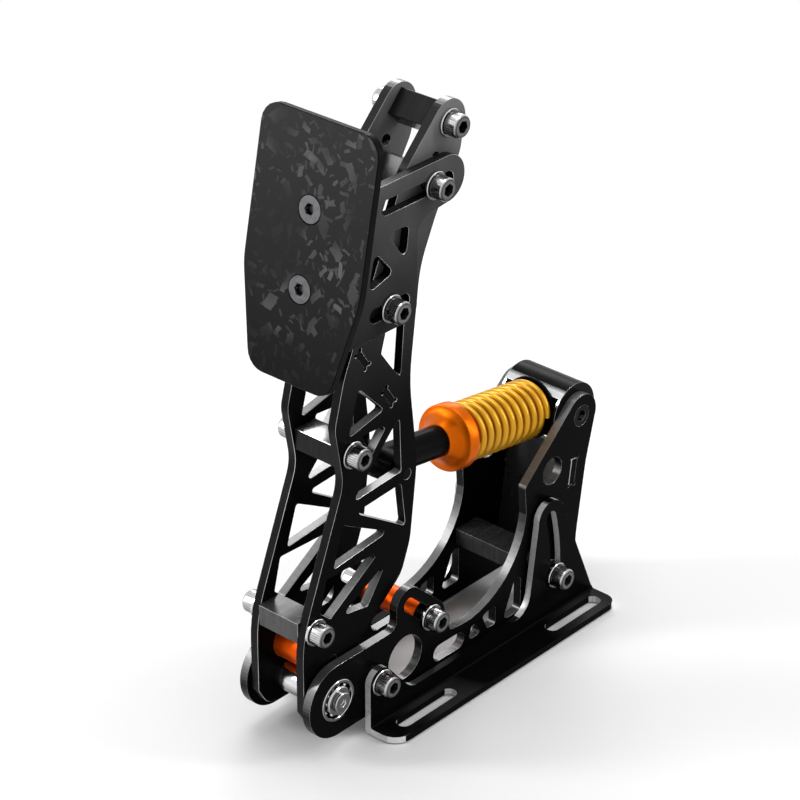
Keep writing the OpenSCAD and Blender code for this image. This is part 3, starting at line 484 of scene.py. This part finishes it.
# %% Yellow powder coat
def yellow_finish():
    f = Finish("yellow_coat", Metallic=0.6, Coat_Weight=0.1, Coat_Roughness=0.12, Coat_IOR=1.5)
    peel = f.noise(650, 2)
    cloud = f.noise(40, 2)
    return f.shade(
        Base_Color=f.blend(cloud, (0.5, 0.23, 0.002, 1), (0.72, 0.37, 0.004, 1)),
        Roughness=f.remap(peel, 0.3, 0.7, 0.28, 0.38),
        Normal=f.bump(peel, 0.00004, 0.35))


# %% [markdown]
# Forged carbon is chopped carbon tow pressed in resin: most of it stays black, and here and there a chip
# lies so that it shows its fibres. Voronoi cells scatter the chips. In each cell, the distance from the
# cell's own centre is turned by the cell's random number and compared with a length and a width, which
# leaves a slanted rectangle. Fine lines along each chip are its fibres.

# %% One layer of carbon chips
CHIP_TURN = 43
CHIP_SLANT = 1.6
FIBRE_ACROSS = 21000
FIBRE_ALONG = 900


def chip_layer(f, place, scale, length, width, keep):
    cells = f.node("ShaderNodeTexVoronoi", {"voronoi_dimensions": "2D"},
                   {"Vector": place, "Scale": scale, "Randomness": 1.0})
    spot = Wire(f, cells.outputs["Position"])
    colour = Wire(f, cells.outputs["Color"])
    chance, tone, skew = (f.add("ShaderNodeSeparateColor", None, {"Color": colour}, out=i) for i in range(3))
    local = f.add("ShaderNodeVectorMath", {"operation": "SUBTRACT"}, {0: place, 1: spot})
    turned = f.add("ShaderNodeVectorRotate", {"rotation_type": "Z_AXIS"},
                   {"Vector": local, "Angle": tone * CHIP_TURN})
    along, across, none = f.split(turned)
    slanted = along + across * (skew - 0.5) * CHIP_SLANT
    inside = (length - abs(slanted) > 0) * (width * (skew + 0.5) - abs(across) > 0)
    fibres = f.remap((across * FIBRE_ACROSS + along * FIBRE_ALONG).sine(), -1, 1, 0.7, 1.0)
    return inside * (chance > keep) * f.remap(tone, 0, 1, 0.25, 1.0) * fibres


# %% [markdown]
# Three sizes of chip are laid over each other, on a sheet whose places swell a little, so that no chip has
# ruler-straight sides. The resin between the chips is painted palest at the top of the plate, as painted light.

# %% Forged carbon
RESIN_LIGHT_HEIGHTS = (0.16, 0.27)


def carbon_finish():
    f = Finish("forged_carbon", Coat_Roughness=0.1, Coat_IOR=1.5, Specular_IOR_Level=0.04)
    x, y, z = f.split(f.object_place())
    sheet = f.add("ShaderNodeCombineXYZ", None, {"X": x, "Y": z, "Z": 0.0})
    swell = f.noise(300, 2, place=sheet, out="Color")
    swell = f.add("ShaderNodeVectorMath", {"operation": "SCALE"}, {0: swell, "Scale": 0.0016})
    sheet = f.add("ShaderNodeVectorMath", {"operation": "ADD"}, {0: sheet, 1: swell})
    big = chip_layer(f, sheet, 95, 0.0034, 0.0019, 0.6)
    mid = chip_layer(f, sheet, 170, 0.0024, 0.0009, 0.6)
    fine = chip_layer(f, sheet, 300, 0.0015, 0.0005, 0.55)
    chips = big.highest(mid).highest(fine * 0.7)
    light = chips * f.remap(f.noise(30, 2), 0.42, 0.6, 0.1, 1.0)
    front = f.remap(abs(f.facing()[1]), 0.85, 0.9)
    # Painted light: the resin is painted paler towards the top.
    resin = f.blend(f.remap(z, *RESIN_LIGHT_HEIGHTS), grey(0.003, 0.0003), grey(0.028, 0.0005))
    return f.shade(
        Base_Color=f.blend(front, grey(0.001), f.blend(light, resin, grey(0.12, 0.005))),
        Metallic=light * 0.4,
        Roughness=0.4 - light * 0.1,
        Coat_Weight=front * 0.06,
        Normal=f.bump(light, 0.00002, 0.3))


# %% [markdown]
# Two quiet finishes remain: fine-grained moulded plastic for the sensor and the magnet ring, and rubber for
# the rebound washer. Both are black, and only their grain and gloss tell them apart.

# %% Plastic and rubber
def dull_finish(name, grain_scale, depth, rough):
    f = Finish(name)
    grain = f.noise(grain_scale, 3)
    return f.shade(
        Base_Color=f.blend(grain, grey(0.018, 0.001), grey(0.035, 0.001)),
        Roughness=f.remap(grain, 0.3, 0.7, rough - 0.05, rough + 0.08),
        Normal=f.bump(grain, depth, 0.5))


# %% [markdown]
# Most pieces take the finish that is named as their slot in the CAD record. A few take another one, because
# the same black looks different, and is painted with its own light and shade, on a tall arm, a bent bracket
# and a turned bar.

# %% Give each piece its finish
FINISHES = {
    "black_frame": black_plate_finish("black_frame", grey(0.17, 0.003)),
    "black_arm": black_plate_finish("black_arm", grey(0.34, 0.005), painted_sheen=0.19, cut_from=0.5),
    "black_carrier": black_plate_finish("black_carrier", grey(0.03, 0.001), painted_sheen=0.12, cut_from=0.5),
    "black_bracket": black_plate_finish("black_bracket", grey(0.8, 0.01), bent=True, bare=0.25),
    "black_part": bar_finish("black_part", grey(0.003), grey(0.009, 0.0005), 0.1, 0.15),
    "black_eye": bar_finish("black_eye", grey(0.001), grey(0.004), 0.0, 0.03, rims=False),
    "banded_bar": bar_finish("banded_bar", grey(0.002), grey(0.006), 0.0, 0.05, highlight_band=(0.62, 0.84)),
    "dark_bar": bar_finish("dark_bar", grey(0.006), grey(0.024, 0.001), 0.3, 0.1, rims=False),
    "lit_bar": bar_finish("lit_bar", grey(0.006), grey(0.02), 0.2, 0.1, rims=False, highlight_band=(0.4, 1.0)),
    "grey_bar": bar_finish("grey_bar", grey(0.04, 0.001), grey(0.11, 0.002), 0.6, 0.3),
    "sunk_screw": sunk_screw_finish(),
    "bright_steel": steel_finish(),
    "orange_anodised": orange_finish("orange_anodised", (0.45, 0.075, 0.001, 1), (0.72, 0.14, 0.002, 1)),
    "orange_bar": orange_finish("orange_bar", (0.6, 0.06, 0.002, 1), (0.92, 0.11, 0.003, 1), sawn_ends=True),
    "yellow_spring": yellow_finish(),
    "forged_carbon": carbon_finish(),
    "black_plastic": dull_finish("black_plastic", 1500, 0.00003, 0.5),
    "black_rubber": dull_finish("black_rubber", 600, 0.00006, 0.72),
}
SLOT_OF = {s["node"]: s["material_slot"] for s in frame["record"]["subparts"]}
BODY_OF = {n: body for body, nodes in frame["record"]["behaviour"]["bodies"].items() for n in nodes}
SPECIAL = {
    "black_arm": ("arm_plate_left", "arm_plate_right"),
    "black_carrier": ("face_carrier_left", "face_carrier_right"),
    "black_bracket": ("mounting_bracket_left", "mounting_bracket_right"),
    "black_eye": ("rod_pin_dowel", "push_rod_eye", "spring_seat", "arm_web"),
    "banded_bar": ("trunnion",),
    "dark_bar": ("top_crossbar", "lower_crossbar", "face_crossbar_upper", "face_crossbar_lower"),
    "lit_bar": ("middle_crossbar",),
    "grey_bar": ("upper_crossbar", "foot_crossbar", "frame_rear_crossbar"),
    "sunk_screw": ("face_screws", "face_carrier_screws", "frame_crossbar_screws"),
    "orange_bar": ("stop_tube", "arm_spacer"),
}
FINISH_NAME = dict(SLOT_OF)
for finish_name, nodes in SPECIAL.items():
    FINISH_NAME.update({node: finish_name for node in nodes})
print("Finishes:", ", ".join(sorted(FINISHES)))

# %% [markdown]
# No real edge is perfectly sharp. A copy of each CAD piece has its loose triangles merged and its flat faces
# joined, and then gets a narrow flat chamfer, which catches the light as the broken edge of the real piece
# does. Edges that turn by more than 28 degrees stay sharp, and elsewhere the larger face sets the shading, so
# that broad faces stay flat and a round edge stays smooth. The copy stands in for its node, which stays
# behind for the physics.

# %% Dress a CAD piece with broken edges
MERGE_WITHIN = 1e-6
FLAT_WITHIN = math.radians(0.5)
CHAMFER_FROM = math.radians(35)
SHARP_FROM = math.radians(28)


def finish_piece(obj, node):
    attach(obj, BODY_OF[node])
    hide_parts(node)


def merged_copy(node):
    work = bmesh.new()
    work.from_mesh(frame["nodes"][node].data)
    bmesh.ops.remove_doubles(work, verts=work.verts, dist=MERGE_WITHIN)
    bmesh.ops.dissolve_limit(work, angle_limit=FLAT_WITHIN, verts=work.verts, edges=work.edges)
    return work


def smooth_mesh(name, work, sharp_from=None):
    mesh = bpy.data.meshes.new(name)
    work.to_mesh(mesh)
    work.free()
    mesh.shade_smooth()
    if sharp_from:
        mesh.set_sharp_from_angle(angle=sharp_from)
    return mesh


def bake_modifiers(obj):
    graph = bpy.context.evaluated_depsgraph_get()
    obj.data = bpy.data.meshes.new_from_object(obj.evaluated_get(graph), preserve_all_data_layers=True,
                                               depsgraph=graph)
    obj.modifiers.clear()


def dress(node, width):
    obj = new_object(node + "_finish", smooth_mesh(node + "_finish", merged_copy(node)))
    edge = obj.modifiers.new("broken_edge", "BEVEL")
    edge.width = width
    edge.segments = 1
    edge.limit_method = "ANGLE"
    edge.angle_limit = CHAMFER_FROM
    edge.use_clamp_overlap = True
    bake_modifiers(obj)
    obj.data.set_sharp_from_angle(angle=SHARP_FROM)
    flat = obj.modifiers.new("flat_faces", "WEIGHTED_NORMAL")
    flat.mode = "FACE_AREA"
    flat.weight = 100
    flat.keep_sharp = True
    bake_modifiers(obj)
    obj.data.materials.clear()
    obj.data.materials.append(FINISHES[FINISH_NAME[node]])
    finish_piece(obj, node)


# %% [markdown]
# The plates have the widest chamfer, because theirs is milled bright, and the countersunk screws nearly as
# wide a one, which is painted black as shade and parts the head from its hole. The screws, the balls, the
# spring and its cap are left to the next cells.

# %% Dress the plates, bars and turned pieces
PLATE_EDGE = 0.45 * MM
SUNK_SCREW_EDGE = 0.4 * MM
OTHER_EDGE = 0.25 * MM
CAP_SCREWS = ("frame_bolts", "arm_bolts", "carrier_clamp_bolts", "stop_bolts")
MADE_BY_HAND = {"spring", "spring_cap", "bearing_balls", *CAP_SCREWS}

for node in sorted(set(frame["nodes"]) - MADE_BY_HAND):
    if SLOT_OF[node] == "black_frame":
        dress(node, PLATE_EDGE)
    elif FINISH_NAME[node] == "sunk_screw":
        dress(node, SUNK_SCREW_EDGE)
    else:
        dress(node, OTHER_EDGE)
print("Dressed", len(frame["nodes"]) - len(MADE_BY_HAND), "pieces")

# %% [markdown]
# A cap screw's head is a knurled drum with a chamfered rim and a hexagon socket. One head of radius 1 and
# height 1 is lathed ring by ring: every second column of points is pressed in a little, which makes the
# knurl. Each ring has its painted shade: much under the head, on the outer rings of its end and in the
# socket, none on the rim, and the pressed-in columns of the knurl take it too.

# %% Model one cap screw head
KNURLS = 30
KNURL_DEPTH = 0.025
KNURL_SPAN = (0.04, 0.88)
KNURL_SHADE = 0.55
HEAD_SHARP_FROM = math.radians(38)
SOCKET = 0.56
# Each ring is a radius, a height and its painted shade.
HEAD_RINGS = (
    (0.58, -0.9, 0.3), (0.58, 0.0, 0.8), (0.93, 0.0, 0.8), (1.0, 0.06, 0.0), (1.0, 0.82, 0.0),
    (0.97, 0.88, 0.1), (0.86, 1.0, 0.9), (0.8, 1.0, 0.6), (0.7, 1.0, 0.0),
)
SOCKET_RINGS = ((1.0, 0.0), (0.97, 0.6), (0.5, 1.0))


def join_rings(work, rings):
    for low, high in zip(rings, rings[1:]):
        for i in range(len(low)):
            j = (i + 1) % len(low)
            work.faces.new((low[i], low[j], high[j], high[i]))


def screw_head_mesh():
    work = bmesh.new()
    turns = [2 * math.pi * i / (2 * KNURLS) for i in range(2 * KNURLS)]
    rings, painted_shade = [], []
    for radius, height, ring_shade in HEAD_RINGS:
        knurled = KNURL_SPAN[0] < height < KNURL_SPAN[1]
        ring = []
        for i, turn in enumerate(turns):
            groove = knurled and i % 2 == 1
            reach = radius * (1 - KNURL_DEPTH if groove else 1)
            ring.append(work.verts.new((reach * math.cos(turn), reach * math.sin(turn), height)))
            painted_shade.append(KNURL_SHADE if groove else ring_shade)
        rings.append(ring)
    for height, ring_shade in SOCKET_RINGS:
        ring = []
        for turn in turns:
            off_middle = turn % (math.pi / 3) - math.pi / 6
            reach = SOCKET * math.cos(math.pi / 6) / math.cos(off_middle)
            ring.append(work.verts.new((reach * math.cos(turn), reach * math.sin(turn), height)))
            painted_shade.append(ring_shade)
        rings.append(ring)
    join_rings(work, rings)
    work.faces.new(rings[-1])
    work.faces.new(list(reversed(rings[0])))
    bmesh.ops.recalc_face_normals(work, faces=work.faces)
    mesh = smooth_mesh("screw_head", work, HEAD_SHARP_FROM)
    attribute = mesh.attributes.new("painted_shade", "FLOAT", "POINT")
    attribute.data.foreach_set("value", painted_shade)
    return mesh


head_template = bpy.data.objects.new("screw_head", screw_head_mesh())
print("Screw head faces:", len(head_template.data.polygons))

# %% [markdown]
# Geometry Nodes put a scaled copy of such a template on every point of a mesh. Each point has the way that
# its copy looks, and the copy is rolled about that way by a random angle. The tree takes its sizes, its seed
# and its material as inputs, so one tree serves every group of screws.

# %% Plant the tree that sets copies on points
def geometry_graph(name, inputs):
    tree = bpy.data.node_groups.new(name, "GeometryNodeTree")
    face = tree.interface
    face.new_socket("Geometry", in_out="INPUT", socket_type="NodeSocketGeometry")
    for label, kind, value in inputs:
        socket = face.new_socket(label, in_out="INPUT", socket_type="NodeSocket" + kind)
        if value is not None:
            socket.default_value = value
    face.new_socket("Geometry", in_out="OUTPUT", socket_type="NodeSocketGeometry")
    return Graph(tree)


def given(graph, *labels):
    return [graph.add("NodeGroupInput", out=label) for label in labels]


def painted(graph, geometry):
    """The tree's end: real geometry in the given finish"""
    real = graph.add("GeometryNodeRealizeInstances", None, {"Geometry": geometry})
    finish = given(graph, "Finish")[0]
    paint = graph.add("GeometryNodeSetMaterial", None, {"Geometry": real, "Material": finish})
    graph.node("NodeGroupOutput", None, {"Geometry": paint})
    return graph.tree


def copies_tree(name, template):
    graph = geometry_graph(name, (("Radius", "Float", 5 * MM), ("Height", "Float", 6 * MM),
                                  ("Roll seed", "Int", 4), ("Finish", "Material", None)))
    points, radius, height, seed = given(graph, "Geometry", "Radius", "Height", "Roll seed")
    thing = graph.add("GeometryNodeObjectInfo", None, {"Object": template}, out="Geometry")
    size = graph.add("ShaderNodeCombineXYZ", None, {"X": radius, "Y": radius, "Z": height})
    way = graph.add("GeometryNodeInputNamedAttribute", {"data_type": "FLOAT_VECTOR"}, {"Name": "way"})
    aligned = graph.add("FunctionNodeAlignRotationToVector", {"axis": "Z"}, {"Vector": way})
    roll = graph.add("FunctionNodeRandomValue", {"data_type": "FLOAT"},
                     {2: 0.0, 3: 2 * math.pi, "Seed": seed}, out=1)
    spin = graph.add("FunctionNodeAxisAngleToRotation", None, {"Angle": roll})
    turned = graph.add("FunctionNodeRotateRotation", {"rotation_space": "LOCAL"},
                       {"Rotation": aligned, "Rotate By": spin})
    copies = graph.add("GeometryNodeInstanceOnPoints", None,
                       {"Points": points, "Instance": thing, "Rotation": turned, "Scale": size})
    return painted(graph, copies)


# %% [markdown]
# A modifier runs a tree on an object. Its inputs are set before the first evaluation, and then the result is
# kept as the object's own mesh and the modifier is dropped.

# %% Run a tree on points
def run_tree(obj, tree, **inputs):
    modifier = obj.modifiers.new(tree.name, "NODES")
    modifier.node_group = tree
    keys = {item.name: item.identifier for item in tree.interface.items_tree
            if getattr(item, "in_out", None) == "INPUT"}
    for label, value in inputs.items():
        modifier[keys[label.replace("_", " ")]] = value
    obj.update_tag()
    bake_modifiers(obj)


def points_object(name, places, ways):
    mesh = bpy.data.meshes.new(name)
    mesh.from_pydata([tuple(p) for p in places], [], [])
    attribute = mesh.attributes.new("way", "FLOAT_VECTOR", "POINT")
    for slot, way in zip(attribute.data, ways):
        slot.vector = way
    return new_object(name, mesh)


# %% [markdown]
# The places come from the CAD model: each separate lump of a screw node is one screw. A screw's head is the
# part of its lump that reaches furthest out across the pedal, and the head starts where the lump is still as
# wide as the head. The size of the head is read from the lump too, so nothing is typed in twice.

# %% Set the cap screws
def lumps(node):
    work = merged_copy(node)
    left = set(work.verts)
    found = []
    while left:
        front = [left.pop()]
        lump = []
        while front:
            v = front.pop()
            lump.append(v.co.copy())
            touching = {e.other_vert(v) for e in v.link_edges} & left
            left -= touching
            front += touching
        found.append(lump)
    work.free()
    return sorted(found, key=lambda lump: [min(p[axis] for p in lump) for axis in range(3)])


def span(lump, axis):
    places = [p[axis] for p in lump]
    return min(places), max(places)


HEAD_SHARE = 0.8
screw_tree = copies_tree("cap_screws", head_template)
for node in CAP_SCREWS:
    places, ways = [], []
    screws = lumps(node)
    head_radius = max((high - low) / 2 for low, high in (span(screw, 1) for screw in screws))
    for screw in screws:
        side = 1 if sum(p.x for p in screw) > 0 else -1
        mid_y, mid_z = sum(span(screw, 1)) / 2, sum(span(screw, 2)) / 2
        seat = min(side * p.x for p in screw if abs(p.y - mid_y) > HEAD_SHARE * head_radius)
        head_height = max(side * p.x for p in screw) - seat
        places.append(Vector((side * seat, mid_y, mid_z)))
        ways.append((side, 0, 0))
    group = points_object(node + "_finish", places, ways)
    run_tree(group, screw_tree, Radius=head_radius, Height=head_height, Roll_seed=len(node),
             Finish=FINISHES["bright_steel"])
    finish_piece(group, node)
    print(node, len(places), "screws, head radius", round(head_radius / MM, 2), "mm")

# %% [markdown]
# The open bearings show their balls. A ball is a subdivided cube rounded onto a sphere, which has no poles,
# and the same tree sets one wherever the CAD model has one.

# %% Set the bearing balls
BALL_CUTS = 5


def ball_mesh():
    work = bmesh.new()
    bmesh.ops.create_cube(work, size=1)
    bmesh.ops.subdivide_edges(work, edges=work.edges, cuts=BALL_CUTS, use_grid_fill=True)
    for v in work.verts:
        v.co.normalize()
    return smooth_mesh("ball", work)


ball_tree = copies_tree("bearing_balls", bpy.data.objects.new("ball", ball_mesh()))
ball_lumps = lumps("bearing_balls")
ball_places = [sum(lump, Vector()) / len(lump) for lump in ball_lumps]
ball_low, ball_high = span(ball_lumps[0], 0)
ball_radius = (ball_high - ball_low) / 2
balls = points_object("bearing_balls_finish", ball_places, [(0, 0, 1)] * len(ball_places))
run_tree(balls, ball_tree, Radius=ball_radius, Height=ball_radius, Roll_seed=1,
         Finish=FINISHES["bright_steel"])
finish_piece(balls, "bearing_balls")
print(len(ball_places), "balls of radius", round(ball_radius / MM, 2), "mm")

# %% [markdown]
# A coil spring follows a rule: it climbs by the same pitch on every turn, except at its ends, where the turns
# close up and sit on the seats. In Geometry Nodes, a straight line of points is bent round by the angle that
# each point has reached, and a round profile is drawn along it.

# %% Plant the tree that winds a spring
WIRE_SIDES = 16


def spring_tree():
    graph = geometry_graph("coil_spring", (
        ("Turns", "Float", 10.0), ("Coil radius", "Float", 0.011), ("Wire radius", "Float", 0.0017),
        ("Length", "Float", 0.05), ("End pitch", "Float", 0.004), ("Rings", "Int", 400),
        ("Finish", "Material", None)))
    turns, radius, wire, length, end_pitch, rings = given(
        graph, "Turns", "Coil radius", "Wire radius", "Length", "End pitch", "Rings")
    line = graph.add("GeometryNodeCurvePrimitiveLine")
    dense = graph.add("GeometryNodeResampleCurve", None, {"Curve": line, "Count": rings})
    turn = graph.add("GeometryNodeSplineParameter", out="Factor") * turns
    angle = turn * (2 * math.pi)
    pitch = (length - (wire * 2 + end_pitch * 2)) / (turns - 2)
    first = turn.lowest(1) * end_pitch
    inner = (turn - 1).highest(0).lowest(turns - 2) * pitch
    last = (turn - (turns - 1)).highest(0) * end_pitch
    climb = wire + (first + (inner + last))
    place = graph.add("ShaderNodeCombineXYZ", None,
                      {"X": angle.cosine() * radius, "Y": angle.sine() * radius, "Z": climb})
    bent = graph.add("GeometryNodeSetPosition", None, {"Geometry": dense, "Position": place})
    ring = graph.add("GeometryNodeCurvePrimitiveCircle", None, {"Resolution": WIRE_SIDES, "Radius": wire})
    drawn = graph.add("GeometryNodeCurveToMesh", None,
                      {"Curve": bent, "Profile Curve": ring, "Fill Caps": True})
    return painted(graph, graph.add("GeometryNodeSetShadeSmooth", None, {0: drawn}))


# %% [markdown]
# The spring's length and its outer radius are read from the CAD piece. It is wound upright and then laid on
# the rod's line.

# %% Wind the spring
TURNS = 10
WIRE_RADIUS = 1.7 * MM
END_PITCH = 4.1 * MM
RINGS_A_TURN = 40

spring_low, spring_high = span_on_rod("spring")
spring = points_object("spring_finish", [(0, 0, 0)], [(0, 0, 1)])
run_tree(spring, spring_tree(), Turns=float(TURNS), Coil_radius=reach_from_rod("spring") - WIRE_RADIUS,
         Wire_radius=WIRE_RADIUS, Length=spring_high - spring_low, End_pitch=END_PITCH,
         Rings=TURNS * RINGS_A_TURN + 1, Finish=FINISHES["yellow_spring"])
onto_rod = Matrix((rod_side, rod_up, rod_way)).transposed().to_4x4()
spring.data.transform(Matrix.Translation(rod_pin + rod_way * spring_low) @ onto_rod)
spring.data.update()
finish_piece(spring, "spring")
print("Spring wound with", len(spring.data.polygons), "faces")

# %% [markdown]
# The spring cap is turned: a hollow cone sweeps out from the rod's neck to a thin rim, and a straight skirt
# runs back from there to the spring. Each point of the profile is a radius and a place along the rod, read
# from the CAD piece, and the profile is spun round the rod's line.

# %% Turn the spring cap
CAP_COLUMNS = 128
CONE_STEPS = 12
CONE_DEPTH = 5 * MM
CONE_SWEEP = 2.2
LIP = 0.5 * MM
RIM_BREAK = 0.3 * MM
SAME_PLACE = 0.1 * MM
CAP_SHARP_FROM = math.radians(30)


def radii_at(node, wanted):
    found = [radius for place, radius in on_rod(node) if abs(place - wanted) < SAME_PLACE]
    return min(found), max(found)


def cap_profile():
    front, back = span_on_rod("spring_cap")
    rim = reach_from_rod("spring_cap")
    bore = radii_at("spring_cap", front)[0]
    hole, spigot = radii_at("spring_cap", back)
    lip = bore + LIP
    cone = front + CONE_DEPTH
    rows = [(bore, front)]
    for i in range(CONE_STEPS + 1):
        share = i / CONE_STEPS
        rows.append((lip + (rim - LIP - lip) * share, front + CONE_DEPTH * (1 - (1 - share) ** CONE_SWEEP)))
    rows += [(rim - 0.15 * MM, cone + 0.12 * MM), (rim, cone + 0.4 * MM), (rim, spring_low - RIM_BREAK),
             (rim - RIM_BREAK, spring_low), (spigot, spring_low), (spigot, back), (hole, back),
             (hole, spring_low), (bore, spring_low)]
    return rows


def turned_on_rod(name, rows, columns):
    work = bmesh.new()
    rings = []
    for radius, place in rows:
        ring = []
        for i in range(columns):
            turn = 2 * math.pi * i / columns
            out = rod_side * math.cos(turn) + rod_up * math.sin(turn)
            ring.append(work.verts.new(rod_pin + rod_way * place + out * radius))
        rings.append(ring)
    join_rings(work, rings + rings[:1])
    bmesh.ops.recalc_face_normals(work, faces=work.faces)
    return smooth_mesh(name, work, CAP_SHARP_FROM)


cap = new_object("spring_cap_finish", turned_on_rod("spring_cap_finish", cap_profile(), CAP_COLUMNS))
cap.data.materials.append(FINISHES[FINISH_NAME["spring_cap"]])
finish_piece(cap, "spring_cap")
print("Spring cap turned with", len(cap.data.polygons), "faces")

# %% [markdown]
# When the pedal is pressed, the cap comes closer and the spring shortens towards its seat on the trunnion.
# How much is kept follows from the rod's geometry: the distance from the rod's pin to the trunnion at rest,
# less that at full press. The spring gets a mesh of its own.

# %% Find how much the spring shortens at full press
press = next(j for j in frame["joints"] if j["name"] == "pedal_press")
turned = Matrix.Rotation(math.radians(press["range_deg"][1]), 4, Vector(press["axis"]))
pressed_pin = pivot + turned.to_3x3() @ (rod_pin - pivot)
pressed_pin.x = rod_pin.x
stroke = (trunnion_axis - rod_pin).length - (trunnion_axis - pressed_pin).length
kept = 1 - stroke / (spring_high - spring_low)
seat = rod_pin + rod_way * spring_high
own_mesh(spring)
print("Stroke", round(stroke / MM, 1), "mm, the spring keeps", round(kept, 3))

# %% [markdown]
# The floor is a plain pale sheet that keeps the pedal's soft shadow. Away from the pedal it fades to the same
# white as the background, so no horizon shows: a plain white glow takes its place there, which the camera and
# reflections see and which lights nothing.

# %% Lay the floor
FLOOR_REACH = 3
FLOOR_GAP = 0.5 * MM
FADE_FROM = 0.28
FADE_TO = 0.6


def floor_finish():
    f = Finish("pale_floor", Base_Color=grey(0.92), Roughness=0.9)
    away = f.add("ShaderNodeVectorMath", {"operation": "LENGTH"}, {0: f.object_place()}, out="Value")
    mixed = f.add("ShaderNodeMixShader", None, {
        "Fac": f.remap(away, FADE_FROM, FADE_TO) * f.seen(),
        1: Wire(f, f.shader.outputs["BSDF"]),
        2: f.add("ShaderNodeEmission")})
    f.feed(f.tree.nodes["Material Output"], {"Surface": mixed})
    return f.material


floor_mesh = bpy.data.meshes.new("floor")
corners = [(-FLOOR_REACH, -FLOOR_REACH, 0), (FLOOR_REACH, -FLOOR_REACH, 0), (FLOOR_REACH, FLOOR_REACH, 0),
           (-FLOOR_REACH, FLOOR_REACH, 0)]
floor_mesh.from_pydata(corners, [], [(0, 1, 2, 3)])
floor = new_object("floor", floor_mesh)
floor.location.z = cad_low.z - FLOOR_GAP
floor.data.materials.append(floor_finish())
